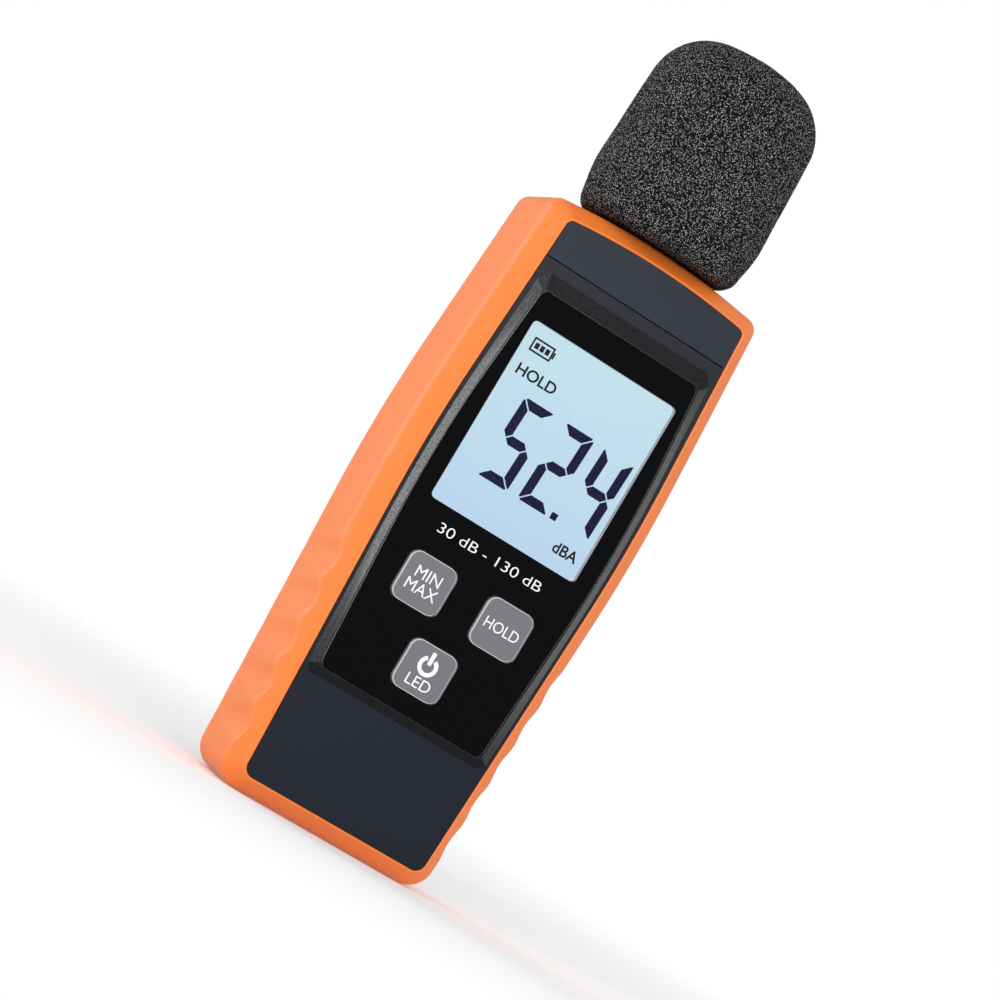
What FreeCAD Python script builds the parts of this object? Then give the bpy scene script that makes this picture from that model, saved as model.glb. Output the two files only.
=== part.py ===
"""Handheld sound level meter: dark front plate and rear case in an orange rubber boot, with a foam
windscreen over the microphone.

Frame: X to the right seen from the front, Y from the front plate towards the back, Z up the long axis.
The origin is the middle of the flat base. All lengths are in millimetres.
"""
import FreeCAD, Part
import math
import os

import Sketcher

# Driving dimensions. Each becomes one cell of the document's sheet, under the same name.
DIMENSIONS = {
    # outline of the boot: straight tapers that meet in one long arc at the widest height
    "body_height": 141.0,
    "body_depth": 32.0,
    "widest_height": 83.0,
    "boot_bottom_half": 25.64,
    "boot_widest_half": 29.54,
    "boot_top_half": 26.43,
    "boot_bottom_corner": 5.5,
    "boot_top_corner": 3.0,
    "flank_radius": 344.0,
    "crown_radius": 165.0,
    "crown_slope": 0.115,
    "crown_rise": 1.088,
    "boot_wall": 3.2,
    "front_rim_depth": 5.5,
    "rear_rim_depth": 2.2,
    "rear_rim_inset": 2.2,
    "rim_land": 0.35,
    "lip_depth": 3.5,
    "rear_opening_inset": 4.6,
    # finger grips cut in the flanks
    "grip_pitch": 9.6,
    "grip_radius": 8.0,
    "grip_cut": 1.35,
    "grip_taper": 2.6,
    "grip_first_height": 12.3,
    "flank_slope": 0.047,
    # dark front plate
    "plate_bottom": 4.0,
    "plate_top": 136.95,
    "plate_bottom_half": 21.78,
    "plate_widest_half": 25.05,
    "plate_top_half": 22.39,
    "plate_bottom_corner": 2.3,
    "plate_top_corner": 1.5,
    "plate_thickness": 2.5,
    "seam_height": 126.7,
    "seam_gap": 0.2,
    "cap_thickness": 1.5,
    "gap": 0.05,
    # inner case
    "case_wall": 2.15,
    "case_corner": 2.0,
    "rear_panel_thickness": 2.8,
    "boss_radius": 3.2,
    "board_boss_radius": 2.3,
    # raised frame and glossy panel
    "bezel_height": 0.8,
    "bezel_land": 0.3,
    "bezel_low_cut": 1.4,
    "bezel_high_cut": 2.3,
    "bezel_bottom": 28.6,
    "bezel_top": 124.05,
    "bezel_bottom_half": 22.1,
    "bezel_widest_half": 24.4,
    "bezel_top_half": 21.9,
    "panel_bottom": 30.8,
    "panel_top": 120.3,
    "panel_bottom_half": 19.93,
    "panel_widest_half": 23.0,
    "panel_top_half": 19.85,
    "panel_flank_radius": 280.0,
    "panel_corner": 1.8,
    "panel_thickness": 1.5,
    "panel_sink": 0.1,
    # display
    "window_bottom": 72.0,
    "window_top": 114.2,
    "glass_half": 19.0,
    "glass_margin": 1.2,
    "glass_thickness": 2.7,
    "glass_play": 0.4,
    "backlight_thickness": 3.0,
    "holder_wall": 1.6,
    "connector_width": 1.8,
    # keys
    "key_side": 11.1,
    "key_corner": 2.2,
    "key_rise": 0.5,
    "key_edge": 0.35,
    "key_gap": 0.2,
    "key_travel": 0.7,
    "flange_side": 12.8,
    "flange_thickness": 0.8,
    "stem_radius": 2.0,
    "upper_key_offset": 9.64,
    "upper_key_height": 56.0,
    "lower_key_height": 40.55,
    # switches under the keys
    "switch_side": 6.0,
    "switch_height": 3.5,
    "plunger_radius": 1.75,
    "plunger_gap": 0.08,
    "plunger_length": 2.2,
    # main board
    "board_front": -6.7,
    "board_thickness": 1.6,
    "board_half": 19.8,
    "board_corner": 1.5,
    "board_bottom": 27.0,
    "board_top": 123.2,
    "chip_side": 10.0,
    "chip_thickness": 1.6,
    "board_screw_offset": 16.8,
    "board_screw_low": 31.0,
    "board_screw_high": 119.8,
    # microphone
    "mic_axis_depth": -1.9,
    "tube_radius": 6.5,
    "tube_bore": 5.25,
    "tube_bottom": 130.0,
    "tube_top": 167.0,
    "tube_flange_radius": 8.6,
    "tube_flange_bottom": 133.1,
    "tube_flange_top": 135.1,
    "capsule_radius": 4.85,
    "capsule_bottom": 157.0,
    "capsule_height": 6.6,
    "grille_thickness": 0.8,
    "grille_hole": 0.5,
    "lead_radius": 0.45,
    "lead_spread": 1.4,
    # foam windscreen
    "foam_base": 141.4,
    "foam_top": 186.8,
    "foam_radius": 20.1,
    "foam_base_radius": 18.35,
    "foam_widest": 151.0,
    "foam_shoulder_radius": 18.95,
    "foam_shoulder_height": 184.1,
    "foam_base_round": 3.5,
    "foam_waist_round": 25.0,
    "foam_shoulder_round": 12.0,
    "foam_bore": 6.55,
    "foam_bore_top": 170.0,
    # battery bay and its door
    "bay_half": 17.0,
    "bay_bottom": 20.5,
    "bay_top": 73.0,
    "bay_floor": 2.4,
    "bay_wall": 1.4,
    "door_half": 18.7,
    "door_bottom": 17.8,
    "door_top": 78.2,
    "door_thickness": 1.7,
    "door_gap": 0.15,
    "tongue_half": 7.5,
    "tongue_length": 11.0,
    "tongue_slot": 0.8,
    "groove_half": 5.0,
    "groove_pitch": 2.2,
    "groove_width": 0.9,
    "groove_depth": 0.5,
    "scoop_half": 6.0,
    "scoop_length": 4.5,
    "scoop_depth": 1.0,
    "pintle_radius": 0.6,
    "pintle_length": 0.8,
    "cell_radius": 5.25,
    "cell_length": 43.3,
    "cell_pitch": 11.2,
    "cell_lift": 6.2,
    "nub_radius": 1.9,
    "nub_height": 1.2,
    "spring_wire": 0.35,
    "spring_radius": 3.2,
    "spring_lift": 0.6,
    "contact_side": 8.4,
    "contact_thickness": 0.5,
    "cell_axis_depth": 8.2,
    # fasteners
    "case_screw_offset": 16.5,
    "case_screw_low": 11.8,
    "case_screw_high": 127.5,
    "case_screw_radius": 1.15,
    "case_screw_head": 2.3,
    "case_screw_reach": 21.8,
    "case_screw_sink": 3.2,
    "case_screw_head_height": 1.6,
    "board_screw_radius": 0.8,
    "board_screw_head": 1.7,
    "board_screw_head_height": 1.3,
    "board_screw_reach": 6.5,
    "cross_half_width": 0.22,
    "cross_depth": 0.7,
    # tripod insert, for a quarter-inch camera screw
    "insert_height": 98.0,
    "insert_radius": 4.4,
    "insert_bore": 3.2,
    "insert_length": 9.2,
    "insert_boss_wall": 1.8,
}

document = FreeCAD.newDocument("sound_level_meter")
sheet = document.addObject("Spreadsheet::Sheet", "Sizes")
for row, (alias, number) in enumerate(DIMENSIONS.items(), start=1):
    sheet.set("A%d" % row, alias.replace("_", " "))
    sheet.set("B%d" % row, str(number))
    sheet.setAlias("B%d" % row, alias)
document.recompute()


class Size:
    """A length that carries both its number and the sheet expression that gives it."""

    def __init__(self, value, text):
        self.value = value
        self.text = text

    def __add__(self, other):
        other = as_size(other)
        return Size(self.value + other.value, "(%s + %s)" % (self.text, other.text))

    def __sub__(self, other):
        other = as_size(other)
        return Size(self.value - other.value, "(%s - %s)" % (self.text, other.text))

    def __mul__(self, other):
        other = as_size(other)
        return Size(self.value * other.value, "(%s * %s)" % (self.text, other.text))

    def __neg__(self):
        return Size(-self.value, "(0 - %s)" % self.text)

    def __radd__(self, other):
        return as_size(other) + self

    def __rsub__(self, other):
        return as_size(other) - self


def as_size(value):
    if isinstance(value, Size):
        return value
    return Size(float(value), "(%r)" % float(value))


class Sheet:
    """Gives each driving dimension by name, as a Size."""

    def __getattr__(self, name):
        return Size(float(sheet.get(name)), "Sizes.%s" % name)


S = Sheet()

FRONT = -(S.body_depth * 0.5)
BACK = S.body_depth * 0.5
SEAT_FRONT = FRONT + S.lip_depth
SEAT_BACK = BACK - S.lip_depth
PLATE_BACK = FRONT + S.plate_thickness
CASE_INSET = S.boot_wall + S.gap
CAVITY_INSET = CASE_INSET + S.case_wall
PANEL_INNER = BACK - S.rear_panel_thickness
PANEL_FACE = FRONT - S.bezel_height + S.panel_sink
PANEL_REAR = PANEL_FACE + S.panel_thickness
GLASS_FRONT = PANEL_REAR + S.gap
GLASS_REAR = GLASS_FRONT + S.glass_thickness
BOARD_REAR = S.board_front + S.board_thickness
KEY_PLACES = {
    "min_max": (-S.upper_key_offset, S.upper_key_height),
    "hold": (S.upper_key_offset, S.upper_key_height),
    "power": (as_size(0), S.lower_key_height),
}


# ---------------------------------------------------------------- document helpers


def bind(thing, name, size):
    """Sets a property and ties it to the sheet."""
    thing.setExpression(name, as_size(size).text)


def new_body(label):
    body = document.addObject("PartDesign::Body", label)
    body.Label = label
    return body


def place(thing, x=0, y=0, z=0):
    """Puts a sub-part or primitive at a point, tied to the sheet."""
    for axis, size in (("x", x), ("y", y), ("z", z)):
        bind(thing, "Placement.Base.%s" % axis, size)
    return thing


def sketch_on(body, role, distance):
    """A sketch parallel to one of the body's origin planes, moved along that plane's normal."""
    plane = [item for item in body.Origin.OriginFeatures if item.Role == role][0]
    sketch = body.newObject("Sketcher::SketchObject", "sketch")
    sketch.AttachmentSupport = [(plane, "")]
    sketch.MapMode = "FlatFace"
    bind(sketch, "AttachmentOffset.Base.z", distance)
    return sketch


def front_sketch(body, depth):
    """A sketch in X and Z at a depth. The XZ plane's normal points to the front, so depth is negated."""
    return sketch_on(body, "XZ_Plane", -as_size(depth))


def fix_point(sketch, geometry, position, x, y):
    """Ties one point of a sketch to a pair of sizes."""
    for kind, size in (("DistanceX", as_size(x)), ("DistanceY", as_size(y))):
        if size.value == 0:
            axis = -2 if kind == "DistanceX" else -1
            sketch.addConstraint(Sketcher.Constraint("PointOnObject", geometry, position, axis))
            continue
        index = sketch.addConstraint(
            Sketcher.Constraint(kind, -1, 1, geometry, position, size.value)
        )
        sketch.setExpression("Constraints[%d]" % index, size.text)


def draw_circle(sketch, x, y, radius):
    x, y, radius = as_size(x), as_size(y), as_size(radius)
    centre = FreeCAD.Vector(x.value, y.value, 0)
    circle = sketch.addGeometry(Part.Circle(centre, FreeCAD.Vector(0, 0, 1), radius.value))
    fix_point(sketch, circle, 3, x, y)
    index = sketch.addConstraint(Sketcher.Constraint("Radius", circle, radius.value))
    sketch.setExpression("Constraints[%d]" % index, radius.text)


def draw_guide(sketch, start, end):
    """A construction line that gives a pattern its direction."""
    points = [FreeCAD.Vector(as_size(x).value, as_size(y).value, 0) for x, y in (start, end)]
    line = sketch.addGeometry(Part.LineSegment(*points), True)
    fix_point(sketch, line, 1, *start)
    fix_point(sketch, line, 2, *end)


def draw_outline(sketch, corners):
    """A closed line through corners (x, y, radius), each with a radius rounded by a tangent arc."""
    corners = [tuple(as_size(value) for value in corner) for corner in corners]
    points = [FreeCAD.Vector(x.value, y.value, 0) for x, y, _ in corners]
    count = len(corners)
    arrivals, departures, arcs = [], [], []
    for i, (_, _, radius) in enumerate(corners):
        corner, before, after = points[i], points[i - 1], points[(i + 1) % count]
        if radius.value == 0:
            arrivals.append(corner)
            departures.append(corner)
            arcs.append(None)
            continue
        back = (before - corner).normalize()
        ahead = (after - corner).normalize()
        half_angle = back.getAngle(ahead) / 2
        reach = radius.value / math.tan(half_angle)
        inward = (back + ahead).normalize()
        middle = corner + inward * (radius.value / math.sin(half_angle) - radius.value)
        arrivals.append(corner + back * reach)
        departures.append(corner + ahead * reach)
        arcs.append(Part.Arc(arrivals[i], middle, departures[i]))
    lines = [
        sketch.addGeometry(Part.LineSegment(departures[i], arrivals[(i + 1) % count]))
        for i in range(count)
    ]
    for i, (x, y, radius) in enumerate(corners):
        line_in, line_out = lines[i - 1], lines[i]
        if arcs[i] is None:
            sketch.addConstraint(Sketcher.Constraint("Coincident", line_in, 2, line_out, 1))
            fix_point(sketch, line_out, 1, x, y)
            continue
        arc = sketch.addGeometry(arcs[i])
        starts_here = arcs[i].StartPoint.distanceToPoint(arrivals[i]) < 1e-6
        near, far = (1, 2) if starts_here else (2, 1)
        sketch.addConstraint(Sketcher.Constraint("Tangent", line_in, 2, arc, near))
        sketch.addConstraint(Sketcher.Constraint("Tangent", arc, far, line_out, 1))
        index = sketch.addConstraint(Sketcher.Constraint("Radius", arc, radius.value))
        sketch.setExpression("Constraints[%d]" % index, radius.text)
        corner_point = sketch.addGeometry(Part.Point(points[i]), True)
        fix_point(sketch, corner_point, 1, x, y)
        sketch.addConstraint(Sketcher.Constraint("PointOnObject", corner_point, 1, line_in))
        sketch.addConstraint(Sketcher.Constraint("PointOnObject", corner_point, 1, line_out))


def box_corners(half, bottom, top, radius=0, centre=0):
    """Corners of an upright rectangle."""
    left, right = as_size(centre) - half, as_size(centre) + half
    return [(left, bottom, radius), (right, bottom, radius), (right, top, radius), (left, top, radius)]


def square_corners(centre, half, radius):
    x, z = centre
    return box_corners(half, z - half, z + half, radius, x)


def mirrored(right_side):
    """Closes a symmetric outline from its right-hand corners, listed from the bottom up."""
    left_side = [(-as_size(x), y, radius) for x, y, radius in reversed(right_side)]
    return right_side + left_side


def crowned(flanks, top_half, top, corner):
    """A symmetric outline under a gently arched top. The arch's tangents meet above its middle."""
    peak = top + S.crown_rise
    right_side = flanks + [(top_half, peak - top_half * S.crown_slope, corner)]
    left_side = mirrored(right_side)[len(right_side):]
    return right_side + [(0, peak, S.crown_radius)] + left_side


def boot_corners(inset=0, bottom_corner=None, top_corner=None):
    """The boot's outline, or the same outline moved inwards."""
    inset = as_size(inset)
    flanks = [
        (S.boot_bottom_half - inset, inset, bottom_corner or S.boot_bottom_corner),
        (S.boot_widest_half - inset, S.widest_height, S.flank_radius),
    ]
    corner = top_corner or S.boot_top_corner
    return crowned(flanks, S.boot_top_half - inset, S.body_height - inset, corner)


def plate_corners(outset=0):
    """The dark plate's outline, or the same outline moved outwards."""
    outset = as_size(outset)
    flanks = [
        (S.plate_bottom_half + outset, S.plate_bottom - outset, S.plate_bottom_corner + outset),
        (S.plate_widest_half + outset, S.widest_height, S.flank_radius),
    ]
    corner = S.plate_top_corner + outset
    return crowned(flanks, S.plate_top_half + outset, S.plate_top + outset, corner)


def panel_corners(outset=0):
    """The glossy panel's outline, or the same outline moved outwards."""
    outset = as_size(outset)
    return mirrored(
        [
            (S.panel_bottom_half + outset, S.panel_bottom - outset, S.panel_corner),
            (S.panel_widest_half + outset, S.widest_height, S.panel_flank_radius),
            (S.panel_top_half + outset, S.panel_top + outset, S.panel_corner),
        ]
    )


def cut_corner_frame(half_bottom, half_widest, half_top, bottom, top, low_cut, high_cut):
    """A tall outline whose four corners are cut off at an angle."""
    rounding = 0.6
    return mirrored(
        [
            (half_bottom - low_cut, bottom, rounding),
            (half_bottom, bottom + low_cut, rounding),
            (half_widest, S.widest_height, S.flank_radius),
            (half_top, top - high_cut, rounding),
            (half_top - high_cut * 0.8, top, rounding),
        ]
    )


def check_volume_change(body, before, growing, what):
    """A feature that points the wrong way changes nothing, so each one has to prove itself."""
    change = body.Shape.Volume - before
    if (growing and change < 1e-6) or (not growing and change > -1e-6):
        raise RuntimeError("%s: %s changed the volume by %.4f" % (body.Label, what, change))


def add_feature(body, kind, profile, growing, setup):
    before = 0.0 if body.Shape.isNull() else body.Shape.Volume
    feature = body.newObject("PartDesign::" + kind, kind.lower())
    feature.Profile = profile
    setup(feature)
    profile.Visibility = False
    document.recompute()
    check_volume_change(body, before, growing, kind)
    return feature


def extrude(body, kind, profile, length, reverse, growing, taper=0):
    def setup(feature):
        bind(feature, "Length", length)
        bind(feature, "TaperAngle", taper)
        feature.Reversed = reverse

    return add_feature(body, kind, profile, growing, setup)


def pad_between(body, front, back, corners):
    """Adds the outline's prism between two depths."""
    sketch = front_sketch(body, back)
    draw_outline(sketch, corners)
    return extrude(body, "Pad", sketch, as_size(back) - front, False, True)


def pocket_between(body, front, back, corners):
    """Cuts the outline's prism between two depths, from front to back."""
    sketch = front_sketch(body, front)
    draw_outline(sketch, corners)
    return extrude(body, "Pocket", sketch, as_size(back) - front, False, False)


def pad_discs(body, front, back, discs):
    """Adds round bosses (x, z, radius) between two depths."""
    sketch = front_sketch(body, back)
    for disc in discs:
        draw_circle(sketch, *disc)
    return extrude(body, "Pad", sketch, as_size(back) - front, False, True)


def drill(body, front, back, discs):
    """Cuts round holes (x, z, radius) between two depths."""
    sketch = front_sketch(body, front)
    for disc in discs:
        draw_circle(sketch, *disc)
    return extrude(body, "Pocket", sketch, as_size(back) - front, False, False)


def loft_between(body, first_depth, first_corners, second_depth, second_corners):
    """Adds straight-sided material between two outlines at two depths."""
    first = front_sketch(body, first_depth)
    draw_outline(first, first_corners)
    second = front_sketch(body, second_depth)
    draw_outline(second, second_corners)

    def setup(feature):
        feature.Sections = [second]
        feature.Ruled = True

    return add_feature(body, "AdditiveLoft", first, True, setup)


def revolve(body, depth, corners, kind="Revolution"):
    """Turns a profile (radius, height) about the upright axis at a depth."""
    sketch = front_sketch(body, depth)
    draw_outline(sketch, corners)

    def setup(feature):
        feature.ReferenceAxis = (sketch, ["V_Axis"])
        feature.Angle = 360

    return add_feature(body, kind, sketch, kind == "Revolution", setup)


def bore_upwards(body, depth, radius, bottom, top):
    """Cuts a round hole along Z, centred on X = 0."""
    sketch = sketch_on(body, "XY_Plane", top)
    draw_circle(sketch, 0, depth, radius)
    return extrude(body, "Pocket", sketch, as_size(top) - bottom, False, False)


def four_places(offset, low, high, radius):
    """The same disc at the four corners of a rectangle."""
    return [(x, z, radius) for x in (-offset, offset) for z in (low, high)]


def soften(body, feature, picks, radius):
    """Rounds the edges of the body that the test picks."""
    names = [
        "Edge%d" % (number + 1)
        for number, edge in enumerate(feature.Shape.Edges)
        if picks(edge)
    ]
    fillet = body.newObject("PartDesign::Fillet", "fillet")
    fillet.Base = (feature, names)
    bind(fillet, "Radius", radius)
    document.recompute()
    return fillet


def block(label, half, front, back, bottom, top, centre=0):
    """A plain rectangular piece."""
    piece = document.addObject("Part::Box", label)
    piece.Label = label
    bind(piece, "Length", as_size(half) * 2)
    bind(piece, "Width", as_size(back) - front)
    bind(piece, "Height", as_size(top) - bottom)
    return place(piece, as_size(centre) - half, front, bottom)


def group(label, pieces):
    """Identical or paired separate solids that share one node."""
    compound = document.addObject("Part::Compound", label)
    compound.Label = label
    compound.Links = pieces
    return compound


# ---------------------------------------------------------------- boot and shells


def make_boot():
    """Orange rubber boot: a ring around the case with sloping rims, finger grips and a mouth at each side."""
    body = new_body("rubber_boot")
    rim_back = FRONT + S.front_rim_depth
    rear_rim = BACK - S.rear_rim_depth
    pad_between(body, rim_back, rear_rim, boot_corners())
    loft_between(body, rim_back, boot_corners(), FRONT, plate_corners(S.rim_land))
    loft_between(body, rear_rim, boot_corners(), BACK, boot_corners(S.rear_rim_inset))
    pocket_between(
        body, SEAT_FRONT, SEAT_BACK, boot_corners(S.boot_wall, S.plate_bottom_corner, S.case_corner)
    )
    pocket_between(body, FRONT - 1, SEAT_FRONT + 1, plate_corners())
    pocket_between(body, SEAT_BACK - 1, BACK + 1, rear_opening_corners(0))
    bore_upwards(body, S.mic_axis_depth, S.tube_radius + 0.2, S.tube_flange_top, S.foam_base)
    add_grips(body)
    return body


def add_grips(body):
    """A row of scallops up each flank for the fingers. They run out before the rear rim."""
    count = 5
    span = S.grip_pitch * (count - 1)
    for side in (-1, 1):
        sketch = front_sketch(body, FRONT)
        flank = S.boot_bottom_half + S.grip_first_height * S.flank_slope
        centre = (flank + S.grip_radius - S.grip_cut) * side
        draw_circle(sketch, centre, S.grip_first_height, S.grip_radius)
        end = centre + span * S.flank_slope * side
        draw_guide(sketch, (centre, S.grip_first_height), (end, S.grip_first_height + span))
        scallop = extrude(body, "Pocket", sketch, S.body_depth, False, False, -S.grip_taper)
        before = body.Shape.Volume
        row = body.newObject("PartDesign::LinearPattern", "grip_row")
        row.Originals = [scallop]
        row.Direction = (sketch, ["Axis0"])
        row.Occurrences = count
        bind(row, "Length", span)
        body.Tip = row
        document.recompute()
        check_volume_change(body, before, False, "grip row")


def rear_opening_corners(play):
    return boot_corners(S.rear_opening_inset + play, S.plate_bottom_corner, S.case_corner)


def case_screw_places(radius):
    return four_places(S.case_screw_offset, S.case_screw_low, S.case_screw_high, radius)


def board_screw_places(radius):
    return four_places(S.board_screw_offset, S.board_screw_low, S.board_screw_high, radius)


def make_front_shell():
    """Dark front plate with the tray behind it that carries the board, the display and the keys."""
    body = new_body("front_shell")
    split = S.mic_axis_depth
    case_corner = S.plate_bottom_corner
    pad_between(body, SEAT_FRONT, split, boot_corners(CASE_INSET, case_corner, S.case_corner))
    pad_between(body, FRONT, SEAT_FRONT, plate_corners(-S.gap))
    rear_cut = front_sketch(body, split)
    draw_outline(rear_cut, boot_corners(CAVITY_INSET, S.plate_top_corner, S.plate_top_corner))
    extrude(body, "Pocket", rear_cut, split - PLATE_BACK, True, False)
    pad_discs(body, PLATE_BACK, split, case_screw_places(S.boss_radius))
    pad_discs(body, PLATE_BACK, S.board_front - S.gap, board_screw_places(S.board_boss_radius))
    pilot_front = PLATE_BACK + 1.0
    drill(body, pilot_front + 2.0, split + 1, case_screw_places(S.case_screw_radius + 0.02))
    drill(body, pilot_front, S.board_front, board_screw_places(S.board_screw_radius + 0.02))
    cap_seat = box_corners(S.boot_widest_half, S.seam_height - S.gap, S.body_height)
    pocket_between(body, FRONT - 1, FRONT + S.cap_thickness + S.gap, cap_seat)
    pocket_between(body, FRONT - 1, PANEL_REAR, panel_corners(S.gap))
    glass_room = S.glass_margin + S.glass_play
    opening = box_corners(
        S.glass_half + S.glass_play, S.window_bottom - glass_room, S.window_top + glass_room
    )
    pocket_between(body, FRONT, PLATE_BACK, opening)
    for centre in KEY_PLACES.values():
        pocket_between(body, FRONT, PLATE_BACK, key_hole_corners(centre))
    bore_upwards(body, split, S.tube_radius + 0.1, S.tube_flange_top, S.body_height)
    return body


def key_hole_corners(centre):
    half = S.key_side * 0.5 + S.key_gap
    return square_corners(centre, half, S.key_corner + S.key_gap)


def make_head_cap():
    """Dark cover strip over the microphone end, above the seam."""
    body = new_body("head_cap")
    back = FRONT + S.cap_thickness
    pad_between(body, FRONT, back, plate_corners(-S.gap))
    below = box_corners(S.boot_widest_half, 0, S.seam_height + S.seam_gap)
    pocket_between(body, FRONT - 1, back + 1, below)
    return body


def make_rear_shell():
    """Rear case half with the battery bay, its door recess, the tripod boss and the screw pillars."""
    body = new_body("rear_shell")
    split = S.mic_axis_depth + S.gap
    corner = S.plate_bottom_corner
    pad_between(body, split, SEAT_BACK, boot_corners(CASE_INSET, corner, S.case_corner))
    pad_between(body, SEAT_BACK, BACK, rear_opening_corners(S.gap))
    inside = boot_corners(CAVITY_INSET, S.plate_top_corner, S.plate_top_corner)
    pocket_between(body, split, PANEL_INNER, inside)
    bay_outer = box_corners(
        S.bay_half + S.bay_wall, S.bay_bottom - S.bay_wall, S.bay_top + S.bay_wall, S.bay_wall
    )
    pad_between(body, S.bay_floor - S.bay_wall, PANEL_INNER, bay_outer)
    pad_discs(body, split, PANEL_INNER, case_screw_places(S.boss_radius))
    insert_seat = BACK - S.insert_length - 0.1
    tripod_boss = [(0, S.insert_height, S.insert_radius + S.insert_boss_wall)]
    pad_discs(body, insert_seat - S.bay_wall, PANEL_INNER, tripod_boss)
    bay = box_corners(S.bay_half, S.bay_bottom, S.bay_top)
    pocket_between(body, S.bay_floor, BACK, bay)
    cut_door_recess(body)
    head_seat = BACK - S.case_screw_sink
    drill(body, split, BACK, case_screw_places(S.case_screw_radius + 0.15))
    drill(body, head_seat, BACK, case_screw_places(S.case_screw_head + 0.2))
    drill(body, insert_seat, BACK, [(0, S.insert_height, S.insert_radius + S.gap)])
    bore_upwards(body, S.mic_axis_depth, S.tube_radius + 0.1, S.tube_flange_top, S.body_height)
    return body


def cut_door_recess(body):
    """Step for the battery door, a finger scoop above it and the two blind hinge bores."""
    floor = BACK - S.door_thickness - S.gap
    play = S.door_gap
    recess = box_corners(S.door_half + play, S.door_bottom - 0.2, S.door_top + play)
    pocket_between(body, floor, BACK, recess)
    scoop = box_corners(S.scoop_half, S.door_top, S.door_top + S.scoop_length, 1.5)
    pocket_between(body, BACK - S.scoop_depth, BACK, scoop)
    hinge = sketch_on(body, "YZ_Plane", S.door_half + S.pintle_length + play)
    draw_circle(hinge, *hinge_axis(), S.pintle_radius + 0.08)
    span = (S.door_half + S.pintle_length + play) * 2
    extrude(body, "Pocket", hinge, span, False, False)


def hinge_axis():
    """Depth and height of the battery door's hinge axis."""
    half_thickness = S.door_thickness * 0.5
    return BACK - half_thickness, S.door_bottom + half_thickness


# ---------------------------------------------------------------- front trim and display


def make_bezel():
    """Raised frame around the glossy panel, sloping down to the plate on all sides."""
    body = new_body("bezel_frame")
    outer = cut_corner_frame(
        S.bezel_bottom_half, S.bezel_widest_half, S.bezel_top_half, S.bezel_bottom, S.bezel_top,
        S.bezel_low_cut, S.bezel_high_cut,
    )
    land = S.bezel_land
    inner = cut_corner_frame(
        S.panel_bottom_half + land, S.panel_widest_half + land, S.panel_top_half + land,
        S.panel_bottom - land, S.panel_top + land, as_size(0.6), as_size(0.6),
    )
    loft_between(body, FRONT, outer, FRONT - S.bezel_height, inner)
    pocket_between(body, FRONT - S.bezel_height - 1, FRONT + 1, panel_corners(S.gap))
    return body


def make_panel():
    """Glossy panel with its three key holes. The clear display window is part of it."""
    body = new_body("display_lens")
    pad_between(body, PANEL_FACE, PANEL_REAR, panel_corners())
    for centre in KEY_PLACES.values():
        pocket_between(body, PANEL_FACE - 1, PANEL_REAR + 1, key_hole_corners(centre))
    return body


def make_display():
    """Display glass, its light guide, the holder behind it and the elastomer contact strip."""
    bottom = S.window_bottom - S.glass_margin
    top = S.window_top + S.glass_margin
    glass = block("lcd_glass", S.glass_half, GLASS_FRONT, GLASS_REAR, bottom, top)
    frame_front = GLASS_REAR + S.gap
    holder = new_body("lcd_holder")
    half = S.glass_half + 0.4
    rear = S.board_front - S.gap
    pad_between(holder, frame_front, rear, box_corners(half, bottom - 0.8, top + 0.8, 1.0))
    inner_bottom = bottom - 0.8 + S.holder_wall
    inner_top = top + 0.8 - S.holder_wall
    inside = box_corners(half - S.holder_wall, inner_bottom, inner_top)
    pocket_between(holder, frame_front - 1, rear + 1, inside)
    strip_top = inner_bottom + 0.2 + S.connector_width
    strip_half = half - S.holder_wall - 1.2
    strip = block(
        "zebra_connector", strip_half, frame_front, rear, inner_bottom + 0.2, strip_top
    )
    light = block(
        "backlight_panel", half - S.holder_wall - 0.1, frame_front,
        frame_front + S.backlight_thickness, strip_top + 0.4, inner_top - 0.1,
    )
    return [glass, holder, strip, light]


# ---------------------------------------------------------------- keys, switches and board


def make_key(name, centre):
    """Square key: rounded cap, retaining flange behind the plate and a stem to the switch."""
    body = new_body(name + "_key")
    cap_front = PANEL_FACE - S.key_rise
    flange_front = PLATE_BACK + 0.2
    flange_back = flange_front + S.flange_thickness
    cap = square_corners(centre, S.key_side * 0.5, S.key_corner)
    pad = pad_between(body, cap_front, flange_front, cap)
    front_edges = soften(
        body, pad,
        lambda edge: abs(edge.CenterOfMass.y - cap_front.value) < 1e-3,
        S.key_edge,
    )
    body.Tip = front_edges
    pad_between(
        body, flange_front, flange_back, square_corners(centre, S.flange_side * 0.5, S.key_corner)
    )
    pad_discs(body, flange_back, plunger_front(), [(*centre, S.stem_radius)])
    return body


def plunger_front():
    return S.board_front - S.switch_height - S.key_travel - 0.3


def make_switch(name, centre):
    """Tactile switch body on the board, with a bore for its plunger."""
    body = new_body(name + "_switch")
    front = S.board_front - S.switch_height
    rear = S.board_front - S.gap
    pad_between(body, front, rear, square_corners(centre, S.switch_side * 0.5, as_size(0.4)))
    depth = plunger_front() + S.plunger_length + S.key_travel + 0.1
    drill(body, front - 1, depth, [(*centre, S.plunger_radius + S.plunger_gap)])
    return body


def make_plunger(name, centre):
    """Round plunger of one switch, which travels with the key above it."""
    body = new_body(name + "_plunger")
    front = plunger_front()
    pad_discs(body, front, front + S.plunger_length, [(*centre, S.plunger_radius)])
    return body


def make_board():
    """Main circuit board with four screw holes."""
    body = new_body("main_board")
    outline = box_corners(S.board_half, S.board_bottom, S.board_top, S.board_corner)
    pad_between(body, S.board_front, BOARD_REAR, outline)
    holes = board_screw_places(S.board_screw_radius + 0.3)
    drill(body, S.board_front - 1, BOARD_REAR + 1, holes)
    return body


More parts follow.
